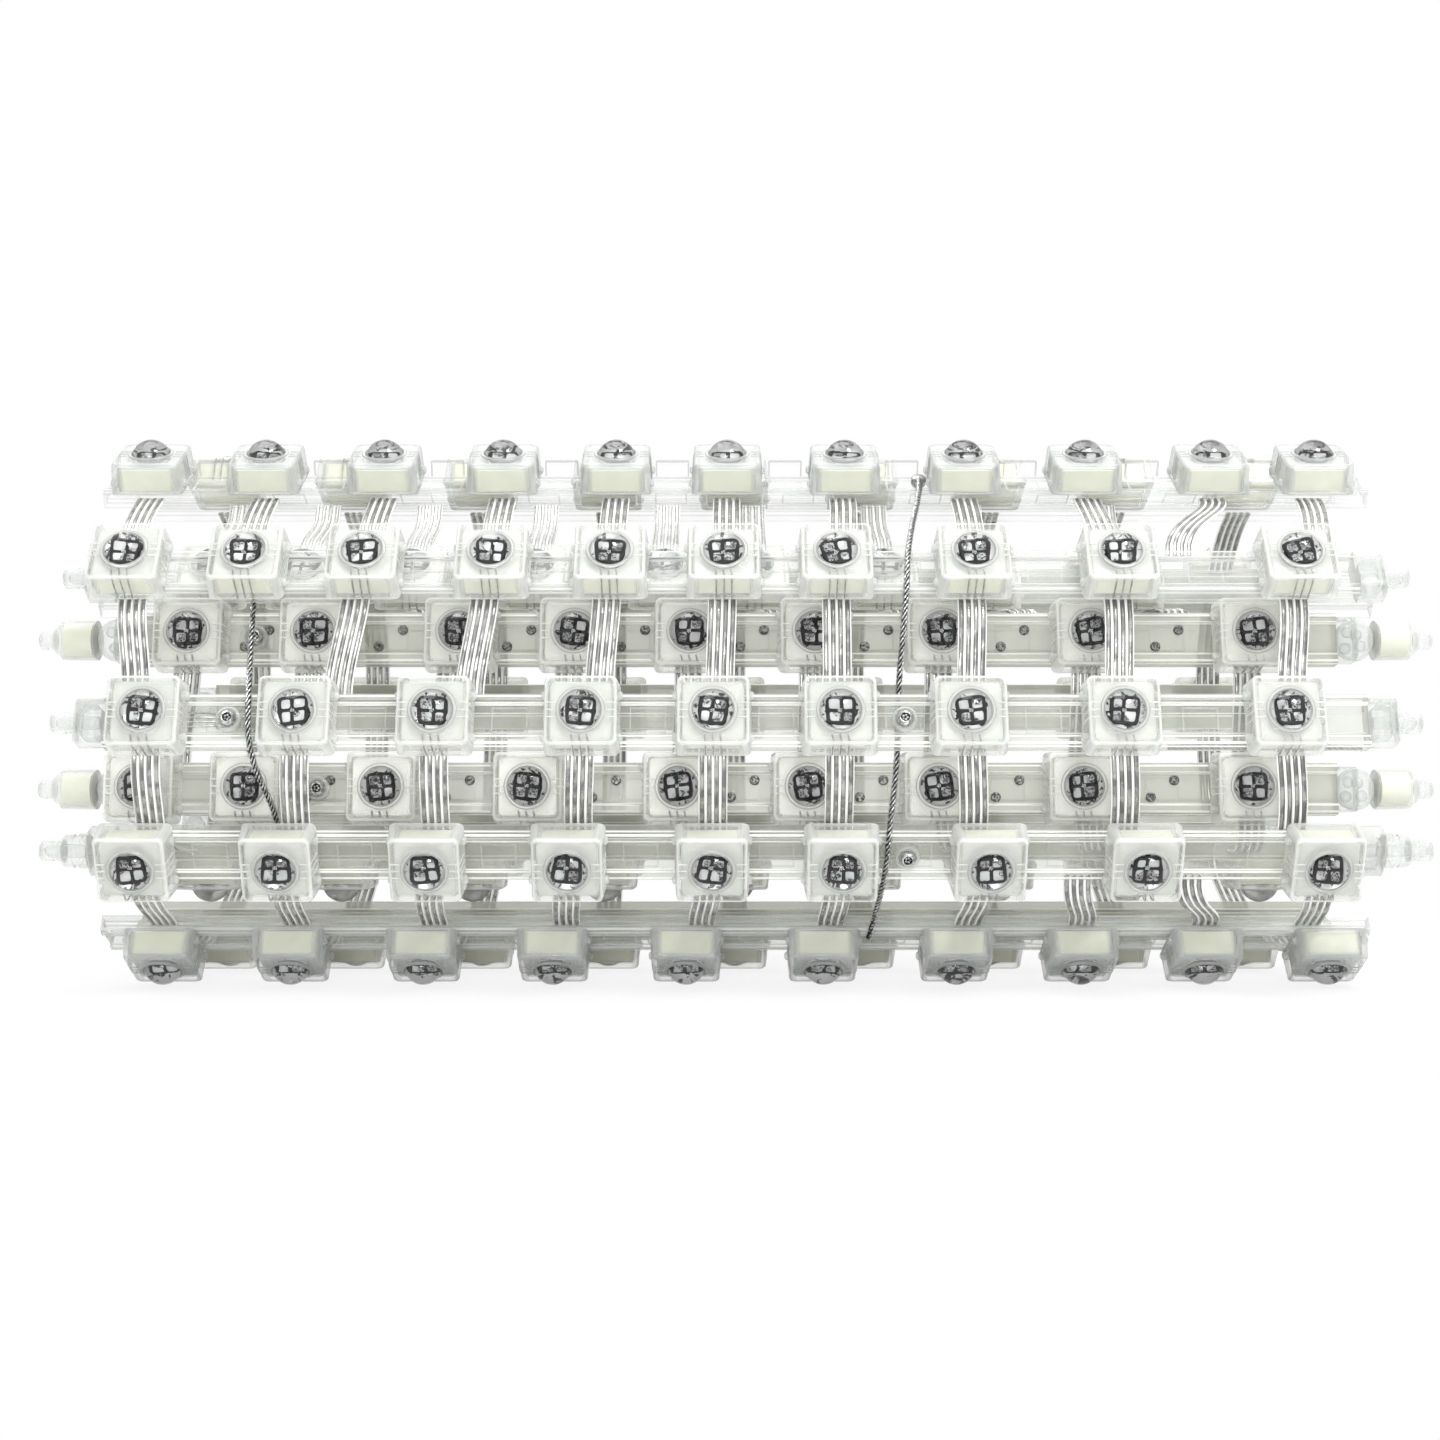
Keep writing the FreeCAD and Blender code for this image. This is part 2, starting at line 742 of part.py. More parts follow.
def make_long_rope():
    """The rope at the right: over rows 1 and 2, behind row 3, over row 4 and down to row 5."""
    stop_side = -(size("ferrule_radius") / (size("rail_width") / 2)).number
    clear_of_stop = stop_side - STOP_GAP
    first, second, third, fourth, fifth = ROWS[:5]
    return rope("long_rope", [
        beside_rail(first, past_module(*ROPE_STOP), clear_of_stop),
        beside_rail(first, past_module(first, 8, -1, 3.2), -1.05),
        beside_rail(second, past_module(second, 7, 1, 13.2), 1.05),
        beside_rail(second, past_module(second, 7, 1, 11.8), -1.15, lift=0.2),
        beside_rail(third, past_module(third, 6, 1, 8.1), 1.1, True),
        beside_rail(third, past_module(third, 6, 1, 7.9), -1.1, True),
        beside_rail(fourth, past_module(fourth, 6, 1, 3.4), 1.2, lift=0.8),
        beside_rail(fourth, past_module(fourth, 6, 1, 2.4), -1.0),
        beside_rail(fifth, past_module(fifth, 6, 1, 3.4), 1.0),
    ])


def make_short_rope():
    """The rope at the left: from behind row 2, over row 3 and behind row 4."""
    second, third, fourth = ROWS[1:4]
    return rope("short_rope", [
        beside_rail(second, past_module(third, 2, -1, 6.9), 0.3, True),
        beside_rail(second, past_module(third, 2, -1, 6.5), -1.05, True),
        beside_rail(third, past_module(third, 2, -1, 4.4), 1.1),
        beside_rail(third, past_module(third, 2, -1, 3.2), -1.4, lift=1.8),
        beside_rail(fourth, past_module(third, 2, -1, -2.5), 1.15, True),
        beside_rail(fourth, past_module(third, 2, -1, -3.5), -0.3, True),
    ])


def make_cross_rope():
    """The rope at the right that lies behind row 3's lower edge."""
    third = ROWS[2]
    return rope("cross_rope", [
        beside_rail(third, past_module(third, 8, 1, 5.0), -0.80, True),
        beside_rail(third, past_module(third, 9, -1, 4.0), -0.72, True),
        beside_rail(third, past_module(third, 9, 1, 16.5), -0.82, True),
    ])


def on_rail(form, row, along):
    """A form at a place along a rail."""
    return copy_of(form, row_place(row) * Placement(Vector(along, 0, 0), Rotation()))


def in_gap(form, row, module, share):
    """A form at a share of the free gap that follows a module."""
    start = past_module(row, module, 1, 0)
    end = past_module(row, module + 1, -1, 0)
    return on_rail(form, row, start + share * (end - start))


def at_fixings(form):
    """A form at every rope fixing."""
    return [in_gap(form, *fixing) for fixing in ROPE_FIXINGS]


def build():
    """Make every node and return them in the order of their names."""
    cover = make_cover_form()
    block = make_block_form()
    chip = make_chip_form()
    plugs = {"short": make_short_plug_form(), "long": make_long_plug_form(),
             "sealed": make_sealed_plug_form()}
    seal = make_seal_form()
    boss = make_boss_form()
    ferrule = make_ferrule_form()
    stop = make_stop_form()
    rails = [make_rail(row) for row in ROWS]
    doc.recompute()

    nodes = list(rails)
    for row, rail in zip(ROWS, rails):
        rail.Placement = row_place(row)
        nodes.append(group(row.name + "_covers", at_stations(cover, row)))
        nodes.append(group(row.name + "_blocks", at_stations(block, row)))
    for turn in ("outer", "inner"):
        chips = [solid for row in ROWS if row.turn == turn for solid in at_stations(chip, row)]
        nodes.append(group(turn + "_led_chips", chips))
    for kind, form in plugs.items():
        ends = [solid for row in ROWS if row.ends == kind for solid in at_both_ends(form, row)]
        nodes.append(group(kind + "_end_plugs", ends))
    seals = [solid for row in ROWS if row.ends == "sealed" for solid in at_both_ends(seal, row)]
    nodes.append(group("end_plug_seals", seals))
    nodes.append(group("rope_bosses", at_fixings(boss)))
    nodes.append(group("rope_ferrules", at_fixings(ferrule)))
    nodes.append(group("rope_stop", [on_rail(stop, ROPE_STOP[0], past_module(*ROPE_STOP))]))
    nodes += [make_outer_ribbons(), make_link_ribbons(), make_inner_ribbons()]
    nodes += [make_long_rope(), make_short_rope(), make_cross_rope()]
    doc.recompute()
    return sorted(nodes, key=lambda node: node.Label)


def check_and_write(nodes):
    """Stop if any object failed or any node's shape is null or not valid, then write the files."""
    for thing in doc.Objects:
        if "Invalid" in thing.State or "Error" in thing.State:
            raise RuntimeError(f"{thing.Label} failed: {thing.State}")
    for node in nodes:
        if node.Shape.isNull() or not node.Shape.isValid():
            raise RuntimeError(f"{node.Label} has no valid shape")
    for node in nodes:
        node.Shape.exportStep(f"parts/{node.Label}.step")


check_and_write(build())
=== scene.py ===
import math
import random

import bmesh
import bpy
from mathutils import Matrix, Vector


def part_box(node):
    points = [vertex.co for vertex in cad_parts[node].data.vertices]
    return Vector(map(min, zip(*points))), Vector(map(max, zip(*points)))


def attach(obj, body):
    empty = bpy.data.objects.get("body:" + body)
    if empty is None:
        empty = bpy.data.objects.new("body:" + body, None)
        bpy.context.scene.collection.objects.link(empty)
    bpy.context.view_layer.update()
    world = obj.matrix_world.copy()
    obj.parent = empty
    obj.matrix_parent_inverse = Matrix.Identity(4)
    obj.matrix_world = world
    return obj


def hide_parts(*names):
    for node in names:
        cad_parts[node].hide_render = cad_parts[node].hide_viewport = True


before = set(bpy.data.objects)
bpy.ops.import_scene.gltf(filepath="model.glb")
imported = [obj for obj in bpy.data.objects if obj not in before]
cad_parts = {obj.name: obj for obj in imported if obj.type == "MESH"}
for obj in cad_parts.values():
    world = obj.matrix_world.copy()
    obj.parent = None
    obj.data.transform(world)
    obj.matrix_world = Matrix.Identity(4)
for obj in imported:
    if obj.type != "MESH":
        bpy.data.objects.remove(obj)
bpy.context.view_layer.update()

# The object is a flexible LED mesh screen, rolled up. Sizes are in millimetres unless a name says
# otherwise, in a rail's own frame: along the rail, across it, and up the way its lenses look.
MM = 0.001
ROWS = range(1, 15)
OUTER_ROWS = range(1, 11)
INNER_ROWS = range(11, 15)
# Rows whose modules, and rows whose rails, stand against the white background and get dark edge lines
# painted on; the top rows' rails also get painted light
BRIGHT_ROWS = (1, 5)
TOP_ROWS = (1, 10, 11)
# Rows whose rails get painted shade, and rows in the roll's shade, whose rails get deeper painted shade
# and whose covers painted light
MIDDLE_ROWS = (3, 4)
SHADED_ROWS = (6, 7, 8, 9, 11, 12, 13, 14)

RAIL_WIDTH = 20.0
RAIL_DEPTH = 7.0
RECESS_WIDTH = 12.0
RECESS_DEPTH = 1.5
SLOT_WIDTH = 8.0
SLOT_DEPTH = 2.0
RAIL_BEVEL = 1.2
RAIL_ROUNDING = 0.3
EDGE_LINE = 0.35
COVER_WIDTH = 27.5
COVER_DEPTH = 11.8
COVER_DRAFT = 4.0
COVER_CORNER = 2.2
COVER_WALL = 2.4
BROW_LEVEL = 10.2
CAVITY_DEPTH = 10.3
FLANGE_RADIUS = 8.9
RIB_SPACING = 2.7
RIB_RADIUS = 0.28
LUG_PLACE = 8.0
LUG_LEVEL = 2.6
BLOCK_WIDTH = 22.3
BLOCK_DEPTH = 9.2
LENS_RADIUS = 7.2
LENS_FOOT = 12.4
LENS_HEIGHT = 4.9
LENS_GAP = 0.02
PACKAGE_HALF = 3.75
PACKAGE_CORNER = 1.3
PACKAGE_TOP = 9.95
PANE_REACH = 2.92
PANE_BAR = 0.46
CORE_SPACING = 2.65
CORE_PLACES = (-1.5, -0.5, 0.5, 1.5)
CORE_RADIUS = 0.80
RIBBON_LEVEL = 3.6
RIBBON_INSET = 0.5
WEB_HALF = 0.15
LOBE_RISE = 0.72
BARE_WIRE_SPACING = 1.8
BARE_WIRE_RADIUS = 0.32
ROPE_DIAMETER = 2.6
ROPE_CLEARANCE = 1.0
ROPE_POINT_SPACING = 0.8
ROPE_CORE_RADIUS = 0.9
STRAND_COUNT = 4
STRAND_LAY = 9.0
STRAND_REACH = 0.88
STRAND_RADIUS = 0.37
FINE_WIRE_RADIUS = 0.30
WIDE_GAP = 15.0
SCREW_ALONG = 4.5
SCREW_ACROSS = 3.2
PLUG_AXIS = -5.0
PLUG_HALF_HEIGHT = 8.5
PLUG_DEPTH = 10.0


# Finishes

class Amount:
    """A number that varies over a surface. Working with it adds the maths nodes."""

    def __init__(self, finish, socket):
        self.finish = finish
        self.socket = socket

    def __add__(self, other):
        return self.finish.maths("ADD", self, other)

    def __sub__(self, other):
        return self.finish.maths("SUBTRACT", self, other)

    def __rsub__(self, other):
        return self.finish.maths("SUBTRACT", other, self)

    def __mul__(self, other):
        return self.finish.maths("MULTIPLY", self, other)

    def __pow__(self, other):
        return self.finish.maths("POWER", self, other)


class Finish:
    """A material and the nodes that give it its look."""

    def __init__(self, name):
        self.material = bpy.data.materials.new(name)
        self.material.use_nodes = True
        self.tree = self.material.node_tree
        self.tree.nodes.clear()
        self.place = self.node("ShaderNodeTexCoord").outputs["Object"]

    def node(self, kind, settings=None, sockets=None):
        """A node of this kind: its settings, then the values or links of its sockets."""
        made = self.tree.nodes.new(kind)
        for name, value in (settings or {}).items():
            if name == "stops":
                self.set_stops(made.color_ramp, value)
            else:
                setattr(made, name, value)
        for name, value in (sockets or {}).items():
            socket = made.inputs[name]
            if isinstance(value, Amount):
                value = value.socket
            if isinstance(value, bpy.types.NodeSocket):
                self.tree.links.new(value, socket)
            else:
                socket.default_value = value
        return made

    @staticmethod
    def set_stops(ramp, stops):
        while len(ramp.elements) < len(stops):
            ramp.elements.new(1.0)
        for element, (position, shade) in zip(ramp.elements, stops):
            element.position = position
            element.color = (shade, shade, shade, 1.0)

    def maths(self, operation, first, second):
        made = self.node("ShaderNodeMath", {"operation": operation}, {0: first, 1: second})
        return Amount(self, made.outputs[0])

    def grain(self, size, detail=2.0, roughness=0.5, distortion=0.0):
        """A soft random pattern whose grains are about this many millimetres across."""
        made = self.node("ShaderNodeTexNoise", None, {
            "Vector": self.place, "Scale": 1.0 / (size * MM), "Detail": detail,
            "Roughness": roughness, "Distortion": distortion})
        return Amount(self, made.outputs["Fac"])

    def ramp(self, amount, *stops):
        made = self.node("ShaderNodeValToRGB", {"stops": stops}, {"Fac": amount})
        return Amount(self, made.outputs["Color"])

    def blend(self, amount, first, second):
        """A colour between two."""
        made = self.node("ShaderNodeMix", {"data_type": "RGBA"},
                         {0: amount, 6: (*first, 1.0), 7: (*second, 1.0)})
        return made.outputs[2]

    def relief(self, height, depth):
        """A bump as deep as depth millimetres."""
        made = self.node("ShaderNodeBump", None, {"Height": height, "Distance": depth * MM})
        return made.outputs["Normal"]

    def band(self, amount, inner, outer):
        """One within inner of zero, none past outer."""
        made = self.node("ShaderNodeMapRange", {"interpolation_type": "SMOOTHSTEP"},
                         {"Value": self.maths("ABSOLUTE", amount, 0.0), "From Min": inner,
                          "From Max": outer, "To Min": 1.0, "To Max": 0.0})
        return Amount(self, made.outputs["Result"])

    def along_axes(self):
        """The three parts of a place."""
        made = self.node("ShaderNodeSeparateXYZ", None, {0: self.place})
        return tuple(Amount(self, socket) for socket in made.outputs)

    def edge_on(self, bend):
        """How far a surface turns away from the eye, for gloss and clear edges."""
        made = self.node("ShaderNodeLayerWeight", None, {"Blend": bend})
        return Amount(self, made.outputs["Facing"])

    def seen_straight(self):
        """One for a ray from the eye, a mirrored one or one that came through a lens."""
        path = self.node("ShaderNodeLightPath")
        rays = [Amount(self, path.outputs[f"Is {kind} Ray"])
                for kind in ("Camera", "Glossy", "Transmission")]
        return rays[0] + rays[1] + rays[2]

    def surface(self, **sockets):
        """The main shader; an underscore in a socket's name stands for a space."""
        named = {name.replace("_", " "): value for name, value in sockets.items()}
        return self.node("ShaderNodeBsdfPrincipled", None, named).outputs["BSDF"]

    def finished(self, shader):
        self.node("ShaderNodeOutputMaterial", None, {"Surface": shader})
        return self.material


def clear_plastic(name, tint, frost, line, rim, line_tint, pass_tint, roughness, falloff=2.5):
    """Clear plastic, see-through where it faces the eye. Its solidness grows by frost everywhere, by rim
    where it turns away and by line along the lines that its form marks as edges.
    The colour of those edge lines, line_tint, is painted reflection: the grey and white lines that
    refraction draws along clear edges."""
    finish = Finish(name)
    edge = Amount(finish, finish.node("ShaderNodeAttribute", {"attribute_name": "edge"}).outputs["Fac"])
    haze = finish.grain(9.0, 0.0) * 0.10 - 0.05
    turn = finish.edge_on(0.5) ** falloff
    solidness = turn * rim + edge * line + haze + frost
    sheen = finish.surface(Base_Color=finish.blend(edge, tint, line_tint), Roughness=roughness,
                           IOR=1.49)
    through = finish.node("ShaderNodeBsdfTransparent", None, {"Color": (*pass_tint, 1.0)})
    mixed = finish.node("ShaderNodeMixShader", None,
                        {0: solidness, 1: through.outputs[0], 2: sheen})
    return finish.finished(mixed.outputs[0])


def lens_plastic(name, shade, falloff):
    """The solid clear lens of a dome, which bends light; its colour darkens towards its rim, a painted
    dark rim.
    """
    finish = Finish(name)
    ripple = finish.relief(finish.grain(1.3), 0.03)
    rim = finish.edge_on(0.5) ** falloff
    return finish.finished(finish.surface(
        Base_Color=finish.blend(rim, (shade, shade, shade), (0.08, 0.08, 0.08)), Roughness=0.01,
        IOR=1.46, Transmission_Weight=1.0, Normal=ripple))


def cream_potting():
    """Satin cream-white casting with faint mottling."""
    finish = Finish("cream_potting")
    mottle = finish.grain(3.0, 3.0)
    colour = finish.blend(mottle, (0.80, 0.80, 0.68), (0.72, 0.72, 0.60))
    return finish.finished(finish.surface(
        Base_Color=colour, Roughness=finish.grain(1.2) * 0.2 + 0.35,
        Normal=finish.relief(finish.grain(0.5), 0.02)))


def mottled(name, light, dark):
    """A satin surface with faint mottling: the face round the chip and the lens's rim."""
    finish = Finish(name)
    mottle = finish.grain(4.0, 3.0)
    return finish.finished(finish.surface(Base_Color=finish.blend(mottle, light, dark),
                                          Roughness=0.4))


def black_package():
    """The black frame of the LED chip."""
    finish = Finish("black_frame")
    return finish.finished(finish.surface(
        Base_Color=finish.blend(finish.grain(0.6), (0.004, 0.004, 0.005), (0.015, 0.015, 0.015)),
        Roughness=0.5, Specular_IOR_Level=0.1))


def pale_pane():
    """The LED's pale panes, whose tone varies at random; in patches, dark flecks are painted reflections
    that give a mirror look.
    """
    finish = Finish("led_pane")
    shade = finish.ramp(finish.grain(4.5, 1.0), (0.38, 0.0), (0.62, 1.0))
    painted_reflection_fleck = finish.ramp(finish.grain(0.55, 3.0, 0.7, 1.0), (0.49, 0.0), (0.51, 1.0))
    patch = finish.ramp(finish.grain(4.5, 0.0), (0.47, 0.0), (0.49, 1.0))
    plain = finish.blend(shade, (0.66, 0.67, 0.67), (0.40, 0.41, 0.41))
    made = finish.node("ShaderNodeMix", {"data_type": "RGBA"},
                       {0: patch * painted_reflection_fleck, 6: plain, 7: (0.005, 0.005, 0.005, 1.0)})
    return finish.finished(finish.surface(Base_Color=made.outputs[2], Roughness=0.3,
                                          Specular_IOR_Level=0.3))


def ring_painted_reflections():
    """The bright ring round the chip; its dark and light flecks are painted reflections."""
    finish = Finish("flecked_ring")
    painted_reflection_fleck = finish.ramp(finish.grain(2.4, 3.0, 0.6, 1.5), (0.44, 0.0), (0.46, 1.0))
    colour = finish.blend(painted_reflection_fleck, (0.01, 0.01, 0.01), (0.80, 0.81, 0.81))
    return finish.finished(finish.surface(Base_Color=colour, Roughness=0.25, Metallic=0.15))


def metal(name, light, dark, grain, roughness):
    """Metal whose shade and gloss vary a little."""
    finish = Finish(name)
    spots = finish.ramp(finish.grain(grain, 3.0), (0.42, 0.0), (0.58, 1.0))
    return finish.finished(finish.surface(
        Base_Color=finish.blend(spots, light, dark), Metallic=0.9,
        Roughness=spots * 0.15 + roughness))


CLEAR_COVER = clear_plastic(
    "clear_cover", tint=(0.78, 0.79, 0.77), frost=0.10, line=0.60, rim=0.50,
    line_tint=(0.70, 0.71, 0.69), pass_tint=(0.985, 0.988, 0.982), roughness=0.06)
# A copy of the cover plastic for rows against the white background, with dark grey edge lines painted on
COVER_PAINTED_DARK_EDGES = clear_plastic(
    "grey_edged_cover", tint=(0.80, 0.82, 0.81), frost=0.08, line=0.55, rim=0.60,
    line_tint=(0.42, 0.43, 0.42), pass_tint=(0.975, 0.98, 0.975), roughness=0.08)
# A copy of the cover plastic for rows in the roll's shade, with lighter tint and edge lines: painted
# light
COVER_PAINTED_LIGHT = clear_plastic(
    "shaded_cover", tint=(0.93, 0.94, 0.90), frost=0.10, line=0.55, rim=0.50,
    line_tint=(0.93, 0.94, 0.91), pass_tint=(0.975, 0.975, 0.965), roughness=0.10)
CLEAR_RAIL = clear_plastic(
    "clear_rail", tint=(0.84, 0.85, 0.84), frost=0.16, line=0.60, rim=0.40,
    line_tint=(0.60, 0.61, 0.60), pass_tint=(0.94, 0.945, 0.935), roughness=0.12)
# A copy of the rail plastic for the middle rows, with a darker tint: painted shade, and light edge lines
RAIL_PAINTED_SHADE = clear_plastic(
    "milky_rail", tint=(0.60, 0.61, 0.57), frost=0.20, line=0.70, rim=0.40,
    line_tint=(0.90, 0.91, 0.88), pass_tint=(0.94, 0.945, 0.93), roughness=0.12)
# A copy of the rail plastic for the top rows, with a near-white tint: painted light, and dark grey edge
# lines painted on
RAIL_PAINTED_LIGHT_DARK_EDGES = clear_plastic(
    "grey_edged_rail", tint=(0.98, 0.99, 0.98), frost=0.02, line=0.26, rim=0.15,
    line_tint=(0.42, 0.43, 0.42), pass_tint=(0.99, 0.992, 0.99), roughness=0.08)
# A copy of the rail plastic for rows in the roll's shade, darker, beige and half solid: painted shade
RAIL_PAINTED_DEEP_SHADE = clear_plastic(
    "shaded_rail", tint=(0.56, 0.57, 0.51), frost=0.40, line=0.45, rim=0.35,
    line_tint=(0.86, 0.87, 0.82), pass_tint=(0.84, 0.845, 0.81), roughness=0.20)
# The jacket's near-white edge lines along the webs are painted highlights
CLEAR_JACKET = clear_plastic(
    "clear_jacket", tint=(0.97, 0.98, 0.97), frost=0.06, line=0.85, rim=0.15,
    line_tint=(0.97, 0.98, 0.97), pass_tint=(0.98, 0.98, 0.98), roughness=0.08)
CLEAR_FITTING = clear_plastic(
    "clear_fitting", tint=(0.74, 0.76, 0.74), frost=0.10, line=0.5, rim=0.9,
    line_tint=(0.50, 0.51, 0.50), pass_tint=(0.95, 0.955, 0.95), roughness=0.05, falloff=1.6)
# Both lenses have a painted dark rim; the second copy's is wider and darker, for rows against the white
# background
CLEAR_LENS = lens_plastic("clear_lens", shade=0.97, falloff=2.0)
LENS_PAINTED_WIDE_DARK_RIM = lens_plastic("grey_edged_lens", shade=0.86, falloff=1.2)
CREAM = cream_potting()
WHITE = mottled("white_face", (0.66, 0.67, 0.64), (0.58, 0.59, 0.56))
# A far lighter copy of the white face, for the inner rows: painted light against the roll's shade
FACE_PAINTED_LIGHT = mottled("inner_white_face", (0.98, 0.98, 0.96), (0.93, 0.93, 0.91))
RIM = mottled("lens_rim", (0.36, 0.37, 0.35), (0.20, 0.21, 0.20))
BLACK = black_package()
PANE = pale_pane()
RING = ring_painted_reflections()
CORE_WIRE = metal("core_wire", (0.52, 0.52, 0.49), (0.20, 0.20, 0.19), grain=6.0, roughness=0.22)
FINE_WIRE = metal("fine_wire", (0.50, 0.50, 0.48), (0.34, 0.34, 0.32), grain=2.0, roughness=0.35)
# A lighter copy of the core wire, for the link ribbons: painted light
LINK_WIRE_PAINTED_LIGHT = metal("link_wire", (0.85, 0.85, 0.83), (0.62, 0.62, 0.60), grain=6.0, roughness=0.25)
STRAND = metal("steel_strand", (0.62, 0.63, 0.62), (0.20, 0.21, 0.20), grain=1.0, roughness=0.25)
# The rope core's near-black is painted shade, in the gaps between strands and in the ferrule sockets
ROPE_CORE_PAINTED_SHADE = metal("rope_core", (0.02, 0.02, 0.02), (0.006, 0.006, 0.006), grain=1.0, roughness=0.6)
CRIMP = metal("crimp_metal", (0.86, 0.86, 0.85), (0.36, 0.36, 0.36), grain=0.9, roughness=0.15)
SCREW = metal("screw_metal", (0.26, 0.26, 0.24), (0.06, 0.06, 0.06), grain=0.8, roughness=0.4)


# Forms

def turns_of(sides):
    """Angles evenly round a circle."""
    return [2 * math.pi * k / sides for k in range(sides)]


class Form:
    """Corners and faces of a shape, in millimetres."""

    def __init__(self):
        self.corners = []
        self.edges = []
        self.faces = []

    def ring(self, points, edge=0.0):
        """Corners of a ring; edge, one number or one for each, marks where an edge line shows."""
        start = len(self.corners)
        self.corners += [tuple(point) for point in points]
        count = len(self.corners) - start
        self.edges += list(edge) if isinstance(edge, list) else [edge] * count
        return list(range(start, len(self.corners)))

    def bridge(self, rings, close=False):
        """Quads between neighbouring rings of equal count."""
        pairs = list(zip(rings, rings[1:]))
        if close:
            pairs.append((rings[-1], rings[0]))
        for near, far in pairs:
            count = len(near)
            for k in range(count):
                follow = (k + 1) % count
                self.faces.append((near[k], near[follow], far[follow], far[k]))

    def cap(self, ring, turned=False):
        self.faces.append(tuple(reversed(ring)) if turned else tuple(ring))

    def stack(self, rings_of_points, edges=0.0):
        """A closed body through rings of points; edges is as in ring, the same for every ring."""
        rings = [self.ring(points, edges) for points in rings_of_points]
        self.bridge(rings)
        self.cap(rings[0], turned=True)
        self.cap(rings[-1])

    def tube(self, path, radius, sides=6, edge=0.0):
        """A round wire along a path."""
        path = [Vector(point) for point in path]
        ways = [(end - start).normalized() for start, end in zip(path, path[1:])]
        ways = [ways[0]] + [(a + b).normalized() for a, b in zip(ways, ways[1:])] + [ways[-1]]
        aside = ways[0].orthogonal().normalized()
        rings = []
        for point, way in zip(path, ways):
            aside = (aside - way * aside.dot(way)).normalized()
            other = way.cross(aside)
            rings.append([point + (aside * math.cos(turn) + other * math.sin(turn)) * radius
                          for turn in turns_of(sides)])
        self.stack(rings, edge)

    def lathe(self, profile, middle, sides=24, edge=0.0):
        """A body turned about a line along the rail; profile holds places along it and radii."""
        across, up = middle
        self.stack([[(along, across + radius * math.cos(turn), up + radius * math.sin(turn))
                     for turn in turns_of(sides)] for along, radius in profile], edge)

    def upright_rings(self, profile, sides, edge=None):
        """Rings about the line that stands on the rail; profile holds radii and heights, and edge
        one mark for each ring."""
        return [self.ring([(radius * math.cos(turn), radius * math.sin(turn), up)
                           for turn in turns_of(sides)], mark)
                for (radius, up), mark in zip(profile, edge or [0.0] * len(profile))]

    def upright_lathe(self, profile, sides=24, edge=None):
        """A solid body turned about the line that stands on the rail."""
        rings = self.upright_rings(profile, sides, edge)
        self.bridge(rings)
        self.cap(rings[0], turned=True)
        self.cap(rings[-1])

    def upright_hoop(self, profile, sides):
        """A hoop turned about the line that stands on the rail; its profile closes on itself."""
        self.bridge(self.upright_rings(profile, sides), close=True)

    def mesh(self, name, sharp_angle=35.0):
        made = bpy.data.meshes.new(name)
        corners = [tuple(value * MM for value in corner) for corner in self.corners]
        made.from_pydata(corners, [], self.faces)
        marks = made.attributes.new("edge", "FLOAT", "POINT")
        marks.data.foreach_set("value", self.edges)
        work = bmesh.new()
        work.from_mesh(made)
        bmesh.ops.recalc_face_normals(work, faces=work.faces)
        work.to_mesh(made)
        work.free()
        made.shade_smooth()
        made.set_sharp_from_angle(angle=math.radians(sharp_angle))
        return made


CORNER_STEPS = 3
SIDE_STOPS = (0.06, 0.5, 0.94)
SIDE_STEPS = len(SIDE_STOPS)
CORNER_EDGE = ([1.0] * (CORNER_STEPS + 1) + [0.0] * SIDE_STEPS) * 4


def corner_edge(share, floor=0.0):
    """Edge marks for a rounded square's ring whose corners show as upright lines."""
    return [max(mark * share, floor) for mark in CORNER_EDGE]


def rounded_square(half, corner, up):
    """Points round a square with rounded corners; its ring matches a circle's of round_ring."""
    points = []
    inner = half - corner
    for quarter in range(4):
        start = math.pi / 2 * quarter
        cos_start = math.cos(start)
        sin_start = math.sin(start)

        def turned(x, y):
            return (x * cos_start - y * sin_start, x * sin_start + y * cos_start, up)

        for k in range(CORNER_STEPS + 1):
            turn = math.pi / 2 * k / CORNER_STEPS
            points.append(turned(inner + corner * math.cos(turn), inner + corner * math.sin(turn)))
        points += [turned(inner * (1 - 2 * stop), half) for stop in SIDE_STOPS]
    return points


def round_ring(radius, up):
    """A circle with as many points as rounded_square has, opposite to its points."""
    corner_share = math.radians(34.0)
    points = []
    for quarter in range(4):
        start = math.pi / 2 * quarter + math.pi / 4
        turns = [start + corner_share * (k / CORNER_STEPS - 0.5) for k in range(CORNER_STEPS + 1)]
        side = math.pi / 2 - corner_share
        turns += [start + corner_share / 2 + side * (0.25 + 0.5 * stop) for stop in SIDE_STOPS]
        points += [(radius * math.cos(turn), radius * math.sin(turn), up) for turn in turns]
    return points


def drafted_half(up):
    """Half the cover's width at a height, where its sides lean in."""
    return COVER_WIDTH / 2 - up * math.tan(math.radians(COVER_DRAFT))


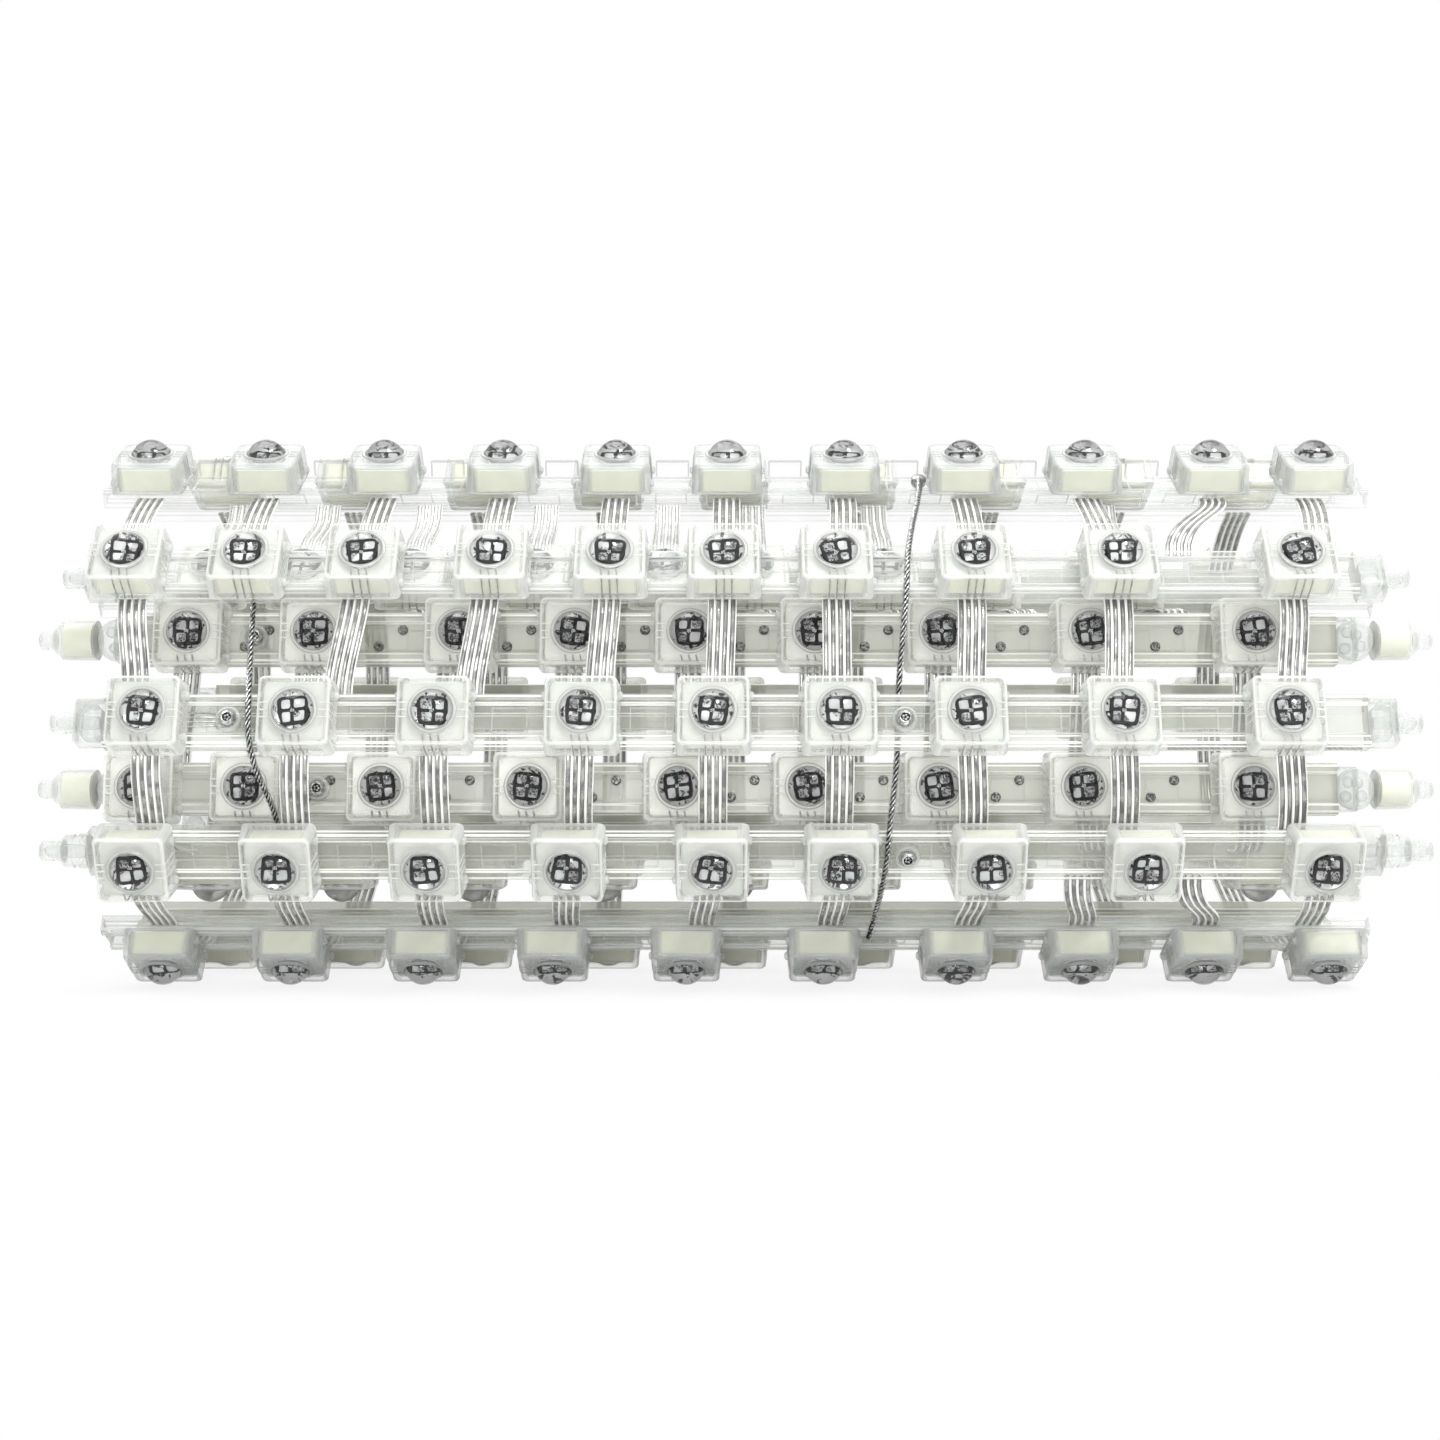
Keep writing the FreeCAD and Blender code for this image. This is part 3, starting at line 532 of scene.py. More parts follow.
def cover_form():
    """The clear cover: leaning walls, rounded brow, a ring round the lens, hollow for the block."""
    form = Form()
    cavity = COVER_WIDTH / 2 - COVER_WALL
    brow = drafted_half(BROW_LEVEL)
    outside = [
        (rounded_square(drafted_half(0.0), COVER_CORNER, 0.0), 1.0),
        (rounded_square(drafted_half(0.5), COVER_CORNER, 0.5), corner_edge(0.8, 0.3)),
        (rounded_square(drafted_half(1.2), COVER_CORNER, 1.2), corner_edge(0.6)),
        (rounded_square(brow, COVER_CORNER, BROW_LEVEL), corner_edge(0.6)),
        (rounded_square(brow - 0.12, 2.1, 10.9), corner_edge(0.8, 0.5)),
        (rounded_square(brow - 0.5, 2.0, 11.5), 1.0),
        (rounded_square(brow - 1.1, 1.7, COVER_DEPTH), 0.5),
        (rounded_square(brow - 1.6, 1.5, COVER_DEPTH), 0.0),
        (round_ring(FLANGE_RADIUS, COVER_DEPTH), 0.0),
        (round_ring(FLANGE_RADIUS - 0.25, 11.95), 0.8),
        (round_ring(FLANGE_RADIUS - 0.6, 12.35), 0.6),
        (round_ring(7.9, LENS_FOOT), 0.0),
        (round_ring(7.5, 12.25), 0.5),
        (round_ring(LENS_RADIUS + LENS_GAP, 12.1), 1.0),
    ]
    inside = [
        (round_ring(LENS_RADIUS + LENS_GAP, CAVITY_DEPTH), 0.0),
        (rounded_square(cavity - 0.8, 1.0, CAVITY_DEPTH), 0.3),
        (rounded_square(cavity, 1.4, CAVITY_DEPTH - 0.7), corner_edge(0.5)),
        (rounded_square(cavity, 1.4, 0.0), corner_edge(0.5)),
    ]
    rings = [form.ring(points, edge) for points, edge in outside + inside]
    form.bridge(rings, close=True)
    lug = ((11.9, 1.7), (13.9, 1.7), (14.5, 1.3), (14.75, 0.7))
    rib = ((9.0, COVER_DEPTH - 0.05), (11.9, COVER_DEPTH - 0.05), (12.8, 11.1), (13.1, 9.0), (13.5, 2.0))
    for side in (-1, 1):
        for across in (-LUG_PLACE, LUG_PLACE):
            form.lathe([(side * reach, radius) for reach, radius in lug], (across, LUG_LEVEL), 10, 0.5)
        for across in (-RIB_SPACING, 0.0, RIB_SPACING):
            form.tube([(side * reach, across, up) for reach, up in rib], RIB_RADIUS, 5, 0.9)
    return form.mesh("cover_form")


def rim_form():
    """The fine double line round the lens's foot."""
    form = Form()
    for radius, up, half in ((7.5, 12.36, 0.18), (8.6, 12.05, 0.14)):
        form.upright_hoop([(radius + half, up), (radius, up + half), (radius - half, up),
                           (radius, up - half)], 32)
    return form.mesh("rim_form", 60.0)


def lens_form():
    """The lens: a dome whose foot reaches down into the face, so the chip lies inside it."""
    form = Form()
    curve = (LENS_RADIUS ** 2 + LENS_HEIGHT ** 2) / (2 * LENS_HEIGHT)
    rings = [(LENS_RADIUS - 0.05, BLOCK_DEPTH - 0.15), (LENS_RADIUS - 0.05, LENS_FOOT)]
    steps = 8
    widest = math.asin(LENS_RADIUS / curve)
    for k in range(1, steps):
        turn = widest * (1 - k / steps)
        rings.append((curve * math.sin(turn),
                      LENS_FOOT + curve * math.cos(turn) - curve + LENS_HEIGHT))
    rings.append((0.12, LENS_FOOT + LENS_HEIGHT))
    form.upright_lathe(rings, sides=32)
    return form.mesh("lens_form", 50.0)


def block_form():
    """The cream casting."""
    form = Form()
    half = BLOCK_WIDTH / 2
    form.stack([
        rounded_square(half - 0.3, 1.0, 0.0),
        rounded_square(half, 1.3, 0.4),
        rounded_square(half, 1.3, BLOCK_DEPTH - 0.5),
        rounded_square(half - 0.4, 1.1, BLOCK_DEPTH - 0.05),
    ])
    return form.mesh("block_form")


def face_form():
    """The white face that closes the casting, dished round the chip."""
    form = Form()
    half = BLOCK_WIDTH / 2 - 0.3
    form.stack([
        rounded_square(half, 1.0, BLOCK_DEPTH - 0.2),
        rounded_square(half, 1.0, BLOCK_DEPTH + 0.2),
        rounded_square(half - 0.25, 0.9, BLOCK_DEPTH + 0.4),
        round_ring(10.0, BLOCK_DEPTH + 0.4),
        round_ring(9.2, BLOCK_DEPTH + 0.05),
        round_ring(7.8, BLOCK_DEPTH),
    ])
    return form.mesh("face_form")


def ring_form():
    """The bright ring that lies round the chip."""
    form = Form()
    form.upright_hoop([(6.9, 9.22), (6.9, 9.45), (6.0, 9.6), (4.8, 9.65), (3.9, 9.5), (3.8, 9.22)], 28)
    return form.mesh("ring_form")


def package_form():
    """The chip's square black package with rounded corners."""
    form = Form()
    form.stack([rounded_square(PACKAGE_HALF, PACKAGE_CORNER, BLOCK_DEPTH - 0.05),
                rounded_square(PACKAGE_HALF, PACKAGE_CORNER, PACKAGE_TOP),
                rounded_square(PACKAGE_HALF - 0.1, PACKAGE_CORNER - 0.1, PACKAGE_TOP + 0.1)])
    return form.mesh("package_form")


def pane_form(number, split_along, split_across, slant):
    """The four panes of a chip, which meet at a cross that lies a little off its middle."""
    form = Form()
    layers = ((1.0, PACKAGE_TOP), (1.0, PACKAGE_TOP + 0.17), (0.93, PACKAGE_TOP + 0.23))
    for side in (-1, 1):
        for other in (-1, 1):
            along = sorted((split_along + side * PANE_BAR, side * PANE_REACH))
            across = sorted((split_across + other * PANE_BAR, other * PANE_REACH))
            half_along = (along[1] - along[0]) / 2
            half_across = (across[1] - across[0]) / 2
            middle = Vector(((along[0] + along[1]) / 2, (across[0] + across[1]) / 2))
            corners = [(half_along, half_across), (-half_along, half_across),
                       (-half_along, -half_across), (half_along, -half_across)]
            outline = rounded_outline(corners, 0.5, 2)
            form.stack([[(middle.x + x * share + slant * (middle.y + y), middle.y + y * share, up)
                         for x, y in outline] for share, up in layers])
    return form.mesh(f"pane_form_{number}")


def module_wire_form():
    """The fine wires that run down a module's lower side from its face."""
    form = Form()
    for along in (-2.8, 0.0, 2.8):
        form.tube([(along - 0.5, -9.3, 11.75), (along, -11.6, 11.7), (along, -12.5, 11.0),
                   (along, -12.9, 9.0), (along, -13.5, 0.3)], FINE_WIRE_RADIUS, 5)
    return form.mesh("module_wire_form")


def rounded_outline(points, radius, steps=3):
    """A closed outline whose corners are rounded, steps + 1 points to each corner."""
    count = len(points)
    outline = []
    for k in range(count):
        corner = Vector(points[k])
        before = Vector(points[k - 1]) - corner
        after = Vector(points[(k + 1) % count]) - corner
        reach = min(radius, 0.4 * before.length, 0.4 * after.length)
        start = corner + before.normalized() * reach
        end = corner + after.normalized() * reach
        for step in range(steps + 1):
            share = step / steps
            point = (start * (1 - share) ** 2 + corner * 2 * share * (1 - share)
                     + end * share ** 2)
            outline.append((point.x, point.y))
    return outline


# Rails and the places along them

def separate_solids(node):
    """The corners of each solid of a CAD node, in millimetres."""
    work = bmesh.new()
    work.from_mesh(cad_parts[node].data)
    bmesh.ops.remove_doubles(work, verts=work.verts, dist=1e-6)
    seen = set()
    solids = []
    for start in work.verts:
        if start in seen:
            continue
        seen.add(start)
        waiting = [start]
        corners = []
        while waiting:
            corner = waiting.pop()
            corners.append(corner.co / MM)
            for edge in corner.link_edges:
                other = edge.other_vert(corner)
                if other not in seen:
                    seen.add(other)
                    waiting.append(other)
        solids.append(corners)
    work.free()
    return solids


class Rail:
    """One rail's own frame and its modules' places, worked out from its potted blocks."""

    def __init__(self, number):
        self.number = number
        self.name = f"row_{number:02d}"
        blocks = [(sum(corners, Vector()) / len(corners), corners)
                  for corners in separate_solids(self.name + "_blocks")]
        blocks.sort(key=lambda block: block[0].x)
        self.stations = [middle.x for middle, corners in blocks]
        middle, corners = blocks[0]
        first = corners[0]
        flat = [Vector((0, corner.y - first.y, corner.z - first.z)) for corner in corners]
        rise = min((step for step in flat if step.length > 1.0), key=lambda step: step.length)
        low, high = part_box(self.name + "_rail")
        rail_middle = (low + high) / 2 / MM
        self.half_length = (high.x - low.x) / 2 / MM
        outward = rise.normalized()
        if outward.dot(middle - rail_middle) < 0:
            outward = -outward
        self.outward = outward
        self.across = outward.cross(Vector((1, 0, 0)))
        self.front = Vector((0, middle.y, middle.z)) - outward * (rise.length / 2)
        self.tilt = math.atan2(-outward.y, outward.z)

    def point(self, along, across=0.0, up=0.0):
        return self.front + Vector((along, 0, 0)) + self.across * across + self.outward * up

    def local(self, point):
        """A point's places across the rail and up."""
        step = point - self.front
        return step.dot(self.across), step.dot(self.outward)

    def spot(self, along, across=0.0, spin=0.0):
        """A place for a repeated form, with the rail's tilt and a turn about its own upright."""
        return (self.point(along, across) * MM, self.tilt, spin)

    def gaps(self, least=0.0):
        """Midway places between neighbouring modules that leave more room than least."""
        return [(left + right) / 2 for left, right in zip(self.stations, self.stations[1:])
                if right - left - COVER_WIDTH > least]


rails = {number: Rail(number) for number in ROWS}


def past_module(row, module, side, gap):
    """A place along a row, gap past a module's right (+1) or left (-1) edge."""
    return rails[row].stations[module - 1] + side * (COVER_WIDTH / 2 + gap)


# Repeats

def repeat_tree():
    """Puts a form at each point, turned by the point's tilt and spin, and gives it a finish."""
    tree = bpy.data.node_groups.new("form_at_points", "GeometryNodeTree")
    for name, kind, way in (("Points", "NodeSocketGeometry", "INPUT"),
                            ("Form", "NodeSocketObject", "INPUT"),
                            ("Finish", "NodeSocketMaterial", "INPUT"),
                            ("Shape", "NodeSocketGeometry", "OUTPUT")):
        tree.interface.new_socket(name, in_out=way, socket_type=kind)

    def node(kind, **settings):
        made = tree.nodes.new(kind)
        for name, value in settings.items():
            setattr(made, name, value)
        return made

    def turn(attribute, part):
        """A rotation whose one part is a number stored on the points."""
        read = node("GeometryNodeInputNamedAttribute", data_type="FLOAT")
        read.inputs["Name"].default_value = attribute
        parts = node("ShaderNodeCombineXYZ")
        tree.links.new(read.outputs["Attribute"], parts.inputs[part])
        return parts.outputs[0]

    taken = node("NodeGroupInput")
    given = node("NodeGroupOutput")
    shape = node("GeometryNodeObjectInfo")
    placed = node("GeometryNodeInstanceOnPoints")
    spun = node("GeometryNodeRotateInstances")
    real = node("GeometryNodeRealizeInstances")
    dressed = node("GeometryNodeSetMaterial")
    link = tree.links.new
    link(taken.outputs["Form"], shape.inputs["Object"])
    link(taken.outputs["Points"], placed.inputs["Points"])
    link(shape.outputs["Geometry"], placed.inputs["Instance"])
    link(turn("tilt", "X"), placed.inputs["Rotation"])
    link(placed.outputs["Instances"], spun.inputs["Instances"])
    link(turn("spin", "Z"), spun.inputs["Rotation"])
    link(spun.outputs["Instances"], real.inputs["Geometry"])
    link(real.outputs["Geometry"], dressed.inputs["Geometry"])
    link(taken.outputs["Finish"], dressed.inputs["Material"])
    link(dressed.outputs["Geometry"], given.inputs["Shape"])
    return tree


REPEAT_TREE = repeat_tree()
REPEAT_INPUTS = {item.name: item.identifier for item in REPEAT_TREE.interface.items_tree
                 if item.in_out == "INPUT"}
form_objects = {}


def form_object(mesh):
    """The hidden object that carries a form for the repeats."""
    if mesh.name not in form_objects:
        made = bpy.data.objects.new(mesh.name, mesh)
        bpy.context.scene.collection.objects.link(made)
        form_objects[mesh.name] = made
    return form_objects[mesh.name]


def dress(piece, slot, *nodes):
    """What every piece gets: its body, with the CAD nodes that it stands for hidden; slot is not used."""
    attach(piece, "root")
    if nodes:
        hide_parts(*nodes)
    return piece


def repeated(name, form, spots, finish, slot, *nodes):
    """A piece made of one form at many spots."""
    points = bpy.data.meshes.new(name + "_points")
    points.from_pydata([spot[0] for spot in spots], [], [])
    for attribute, part in (("tilt", 1), ("spin", 2)):
        stored = points.attributes.new(attribute, "FLOAT", "POINT")
        stored.data.foreach_set("value", [spot[part] for spot in spots])
    maker = bpy.data.objects.new(name + "_maker", points)
    bpy.context.scene.collection.objects.link(maker)
    modifier = maker.modifiers.new("repeat", "NODES")
    modifier.node_group = REPEAT_TREE
    modifier[REPEAT_INPUTS["Form"]] = form_object(form)
    modifier[REPEAT_INPUTS["Finish"]] = finish
    view = bpy.context.evaluated_depsgraph_get()
    made = bpy.data.meshes.new_from_object(maker.evaluated_get(view), depsgraph=view)
    bpy.data.objects.remove(maker)
    made.name = name
    piece = bpy.data.objects.new(name, made)
    bpy.context.scene.collection.objects.link(piece)
    return dress(piece, slot, *nodes)


def single(name, mesh, finish, slot, *nodes):
    """A piece whose mesh is already in place."""
    mesh.materials.append(finish)
    piece = bpy.data.objects.new(name, mesh)
    bpy.context.scene.collection.objects.link(piece)
    return dress(piece, slot, *nodes)


# Modules

def make_modules():
    """Covers, lenses, castings, faces and fine wires, row by row."""
    cover = cover_form()
    rim = rim_form()
    lens = lens_form()
    block = block_form()
    face = face_form()
    wires = module_wire_form()
    for rail in rails.values():
        spots = [rail.spot(along) for along in rail.stations]
        # Covers: dark edge lines painted on for rows against the white background, painted light for rows
        # in the roll's shade
        finish = CLEAR_COVER
        if rail.number in BRIGHT_ROWS:
            finish = COVER_PAINTED_DARK_EDGES
        elif rail.number in SHADED_ROWS:
            finish = COVER_PAINTED_LIGHT
        repeated(rail.name + "_clear_covers", cover, spots, finish, "clear_cover",
                 rail.name + "_covers")
        # Lenses of rows against the white background get the wider painted dark rim
        repeated(rail.name + "_lenses", lens, spots,
                 LENS_PAINTED_WIDE_DARK_RIM if rail.number in BRIGHT_ROWS else CLEAR_LENS, "clear_cover")
        repeated(rail.name + "_lens_rims", rim, spots, RIM, "clear_cover")
        repeated(rail.name + "_castings", block, spots, CREAM, "cream_potting",
                 rail.name + "_blocks")
        # Faces of the inner rows get the lighter copy: painted light where the roll shades them
        repeated(rail.name + "_faces", face, spots,
                 FACE_PAINTED_LIGHT if rail.number in INNER_ROWS else WHITE, "cream_potting")
        if rail.number not in BRIGHT_ROWS:
            repeated(rail.name + "_module_wires", wires, spots, FINE_WIRE, "wire_rope")


def make_chips():
    """The LED chips, each turned a little its own way, with their bright rings."""
    draws = random.Random(7)
    package = package_form()
    panes = [pane_form(1, 0.0, 0.1, 0.0), pane_form(2, -0.35, 0.3, 0.08), pane_form(3, 0.3, 0.0, -0.06)]
    ring = ring_form()
    for turn_name, numbers in (("outer", OUTER_ROWS), ("inner", INNER_ROWS)):
        spots = [rails[number].spot(along, spin=math.radians(draws.uniform(-7.0, 10.0)))
                 for number in numbers for along in rails[number].stations]
        repeated(turn_name + "_chip_frames", package, spots, BLACK, "led_chip",
                 turn_name + "_led_chips")
        for number, pane in enumerate(panes):
            repeated(f"{turn_name}_chip_panes_{number + 1}", pane, spots[number::3], PANE, "led_chip")
        repeated(turn_name + "_chip_rings", ring, spots, RING, "led_chip")


# Rails

def rail_outline():
    """The rail's section, across and up, with softened corners, and its edge marks."""
    edge = RAIL_WIDTH / 2
    recess = RECESS_WIDTH / 2
    slot = SLOT_WIDTH / 2
    slot_floor = SLOT_DEPTH - RAIL_DEPTH
    corners = [
        (edge, -RAIL_DEPTH), (edge, -RAIL_BEVEL), (edge - RAIL_BEVEL, 0.0), (recess, 0.0),
        (recess, -RECESS_DEPTH), (-recess, -RECESS_DEPTH), (-recess, 0.0), (RAIL_BEVEL - edge, 0.0),
        (-edge, -RAIL_BEVEL), (-edge, -RAIL_DEPTH), (-slot, -RAIL_DEPTH), (-slot, slot_floor),
        (slot, slot_floor), (slot, -RAIL_DEPTH)]
    rounded = rounded_outline(corners, RAIL_ROUNDING, 1)
    outline = []
    marks = []
    for k in range(0, len(rounded), 2):
        first = Vector(rounded[k])
        second = Vector(rounded[k + 1])
        before = Vector(rounded[k - 1])
        after = Vector(rounded[(k + 2) % len(rounded)])
        outline += [first.lerp(before, min(0.45, EDGE_LINE / (before - first).length)), first, second,
                    second.lerp(after, min(0.45, EDGE_LINE / (after - second).length))]
        marks += [0.0, 1.0, 1.0, 0.0]
    return [tuple(point) for point in outline], marks


def make_rail(rail):
    """The clear extrusion of one row."""
    form = Form()
    half = rail.half_length
    outline, marks = rail_outline()
    form.stack([[rail.point(along, across, up) for across, up in outline]
                for along in (-half, -half / 2, 0.0, half / 2, half)], marks)
    # Rails: painted light and dark edge lines at the top rows, painted shade in the middle rows, deeper
    # painted shade in the roll's shade
    finish = CLEAR_RAIL
    if rail.number in TOP_ROWS:
        finish = RAIL_PAINTED_LIGHT_DARK_EDGES
    elif rail.number in MIDDLE_ROWS:
        finish = RAIL_PAINTED_SHADE
    elif rail.number in SHADED_ROWS:
        finish = RAIL_PAINTED_DEEP_SHADE
    single(rail.name + "_clear_rail", form.mesh(rail.name + "_clear_rail"), finish,
           "clear_rail", rail.name + "_rail")


def window_form():
    """A rectangular frame that lies in the recess."""
    form = Form()
    foot = -RECESS_DEPTH - 0.05
    top = foot + 0.45
    wall = 0.6

    def corners(shrink, up):
        along = 6.6 - shrink
        across = 4.8 - shrink
        return [(-along, -across, up), (along, -across, up), (along, across, up), (-along, across, up)]

    rings = [form.ring(corners(shrink, up))
             for shrink, up in ((0.0, foot), (0.0, top), (wall, top), (wall, foot))]
    form.bridge(rings, close=True)
    return form.mesh("window_form", 30.0)


def make_windows():
    """The faint rectangular frames in the recess between modules."""
    spots = [rail.spot(middle) for rail in rails.values() for middle in rail.gaps(WIDE_GAP)]
    repeated("recess_windows", window_form(), spots, CLEAR_RAIL, "clear_rail")


def tab_form():
    """An open tab that stands on a rail's upper edge."""
    form = Form()
    outline = ((-6.6, -0.4), (-6.6, 5.6), (-6.2, 6.1), (6.2, 6.1), (6.6, 5.6), (6.6, -0.4),
               (6.0, -0.4), (6.0, 5.3), (-6.0, 5.3), (-6.0, -0.4))
    pane = ((-6.0, 3.6), (-6.0, 5.3), (6.0, 5.3), (6.0, 3.6))
    form.stack([[(along, across, up) for along, up in outline] for across in (9.0, 9.8)], 1.0)
    form.stack([[(along, across, up) for along, up in pane] for across in (9.3, 9.5)])
    return form.mesh("tab_form", 30.0)


def make_tabs():
    """The open tabs along the upper edge of the first rail."""
    spots = [rails[1].spot(middle) for middle in rails[1].gaps()]
    # The tabs share the top rails' copy: painted light and dark edge lines
    repeated("standing_tabs", tab_form(), spots, RAIL_PAINTED_LIGHT_DARK_EDGES, "clear_rail")


def make_recess_wires():
    """The four bare wires in the third rail's recess, from its first module to the boss beside it."""
    rail = rails[3]
    start = past_module(3, 1, 1, -1.0)
    end = past_module(3, 1, 1, 12.5)
    form = Form()
    for place in CORE_PLACES:
        across = place * BARE_WIRE_SPACING
        path = [(start, across, -0.6), (start + 6.0, across * 0.95, -0.7), (end, across * 0.8, -0.9)]
        form.tube([rail.point(*point) for point in path], BARE_WIRE_RADIUS, 6)
    single("recess_wires", form.mesh("recess_wires", 60.0), FINE_WIRE, "wire_rope")


# End fittings

def rounded_block_rings(start, end, half_height, corner, edge):
    """Rings of a block along the rail, with softened ends."""
    def ring(along, shrink):
        half = half_height - shrink
        low = shrink - PLUG_DEPTH
        outline = rounded_outline([(half, low), (half, -shrink), (-half, -shrink), (-half, low)],
                                  corner, 4)
        return [(along, across, up) for across, up in outline]

    return [ring(start, edge), ring(start + edge, 0.0), ring(end - edge, 0.0), ring(end, edge)]


def nub_profile(start, end, radius, edge=0.9):
    """A turned nub with a rounded tip and a shallow groove."""
    neck = start + (end - start) * 0.25
    return [(start, radius), (neck, radius), (neck + 0.3, radius - 0.35), (neck + 1.1, radius - 0.35),
            (neck + 1.4, radius), (end - edge, radius), (end - edge * 0.4, radius - edge * 0.35),
            (end, radius - edge)]


def short_plug_form():
    """A block with a hollow look, a grooved nub and the bore's line inside."""
    form = Form()
    form.stack(rounded_block_rings(0.0, 11.0, PLUG_HALF_HEIGHT, 2.0, 0.8))
    form.stack(rounded_block_rings(1.6, 9.6, 6.4, 1.6, 1.8))
    form.lathe(nub_profile(11.0, 20.0, 3.9), (0.0, PLUG_AXIS))
    form.lathe([(2.5, 2.0), (3.0, 2.4), (17.0, 2.4), (18.2, 1.4)], (0.0, PLUG_AXIS), 16)
    return form.mesh("short_plug_form")


def long_plug_form():
    """A block like the short plug's, a stepped collar and a longer nub."""
    form = Form()
    form.stack(rounded_block_rings(0.0, 11.0, PLUG_HALF_HEIGHT, 2.0, 0.8))
    form.stack(rounded_block_rings(2.0, 9.4, 6.0, 1.6, 1.8))
    form.lathe([(11.0, 6.4), (14.4, 6.4), (14.8, 5.6), (16.0, 5.6), (16.4, 6.2), (19.6, 5.9),
                (20.5, 5.2)], (0.0, PLUG_AXIS))
    form.lathe(nub_profile(20.5, 29.0, 3.75), (0.0, PLUG_AXIS))
    form.lathe([(3.0, 2.0), (3.5, 2.5), (26.0, 2.5), (27.4, 1.4)], (0.0, PLUG_AXIS), 16)
    return form.mesh("long_plug_form")


def bulb_points():
    """Places and radii along a bulb."""
    return [(7.5 - 7.3 * math.cos(math.pi * k / 10), 0.6 + 7.6 * math.sin(math.pi * k / 10))
            for k in range(11)]


def sealed_plug_form():
    """A block, a round bulb with bubbles in it, the seal's clear tube and a short nub."""
    form = Form()
    form.stack(rounded_block_rings(0.0, 8.0, PLUG_HALF_HEIGHT, 2.0, 0.8))
    form.lathe(bulb_points(), (0.0, PLUG_AXIS))
    for along, across, up in ((4.5, 2.6, -2.4), (9.2, -2.8, -2.6), (9.0, 2.6, -6.8), (4.6, -2.6, -6.9)):
        form.lathe([(along + 2.2 * math.cos(math.pi * (k / 6 - 1)), 0.3 + 2.1 * math.sin(math.pi * k / 6))
                    for k in range(7)], (across, up), 10)
    form.lathe([(15.0, 7.6), (15.6, 7.6), (28.0, 7.4), (28.6, 6.6), (30.0, 5.6), (31.2, 4.4)],
               (0.0, PLUG_AXIS))
    form.lathe(nub_profile(31.0, 37.0, 3.5, 1.1), (0.0, PLUG_AXIS))
    return form.mesh("sealed_plug_form")


def seal_sleeve_form():
    """The cream sleeve in the sealed plug's tube."""
    form = Form()
    form.lathe([(15.9, 5.0), (16.2, 6.7), (27.0, 6.7), (27.6, 5.4)], (0.0, PLUG_AXIS))
    return form.mesh("seal_sleeve_form")


def both_ends(rail):
    """The spots at a rail's two ends; the left one points outwards too."""
    reach = rail.half_length
    return [rail.spot(-reach, spin=math.pi), rail.spot(reach)]


def make_end_fittings():
    """The clear plugs and cream sleeves at the rails' ends."""
    short = [spot for number in (2, 3, 7, 8, 9) for spot in both_ends(rails[number])]
    long = both_ends(rails[4])
    sealed = [spot for number in (12, 13) for spot in both_ends(rails[number])]
    repeated("clear_short_plugs", short_plug_form(), short, CLEAR_FITTING, "clear_rail",
             "short_end_plugs")
    repeated("clear_long_plugs", long_plug_form(), long, CLEAR_FITTING, "clear_rail",
             "long_end_plugs")
    repeated("clear_sealed_plugs", sealed_plug_form(), sealed, CLEAR_FITTING, "clear_rail",
             "sealed_end_plugs")
    repeated("cream_sleeves", seal_sleeve_form(), sealed, CREAM, "cream_seal", "end_plug_seals")


# Rope fixings

def fixing_spots():
    """Where the bosses stand: each in its rail's recess, as its CAD solid does."""
    spots = []
    for corners in separate_solids("rope_bosses"):
        middle = sum(corners, Vector()) / len(corners)
        rail = min(rails.values(), key=lambda each: abs(each.local(middle)[0])
                   + abs(each.local(middle)[1]))
        spots.append(rail.spot(middle.x))
    return spots


def make_bosses():
    """Clear bosses, each with a bright metal ferrule and a rope's end in its socket, whose near-black is
    painted shade.
    """
    boss = Form()
    boss.upright_lathe([(4.6, -1.5), (4.6, 0.4), (4.5, 0.9), (4.1, 1.3), (3.4, 1.5), (3.2, 1.2),
                        (3.0, 0.4)], edge=[0.0, 0.0, 1.0, 0.6, 0.0, 1.0, 0.3])
    ferrule = Form()
    ferrule.upright_lathe([(2.9, 0.3), (2.95, 1.9), (2.6, 2.9), (2.0, 3.4), (1.7, 3.3), (1.5, 2.0),
                           (1.3, 1.2)], sides=20)
    strand_end = Form()
    for turn in turns_of(5):
        x = 0.75 * math.cos(turn)
        y = 0.75 * math.sin(turn)
        strand_end.tube([(x, y, 1.2), (x * 1.1, y * 1.1, 2.7)], 0.42, 6)
    socket = Form()
    socket.upright_lathe([(1.9, 1.0), (1.9, 2.55), (1.7, 2.6)], sides=16)
    spots = fixing_spots()
    repeated("clear_bosses", boss.mesh("boss_form"), spots, CLEAR_FITTING, "clear_rail",
             "rope_bosses")
    repeated("bright_ferrules", ferrule.mesh("ferrule_form"), spots, CRIMP, "ferrule_metal",
             "rope_ferrules")
    repeated("strand_ends", strand_end.mesh("strand_end_form"), spots, STRAND, "wire_rope")
    # The sockets' near-black is painted shade in the ferrule's bore
    repeated("dark_ferrule_sockets", socket.mesh("socket_form"), spots, ROPE_CORE_PAINTED_SHADE, "ferrule_metal")


def make_screws():
    """Two small screws in each wide gap of the inner rails in front."""
    screw = Form()
    screw.upright_lathe([(1.9, -1.5), (1.9, -0.8), (1.5, -0.5), (0.9, -0.5), (0.8, -0.8)], sides=12)
    spots = [rails[number].spot(middle + side * SCREW_ALONG, side * SCREW_ACROSS)
             for number in (12, 13) for middle in rails[number].gaps(WIDE_GAP) for side in (-1, 1)]
    repeated("small_screws", screw.mesh("screw_form"), spots, SCREW, "ferrule_metal")


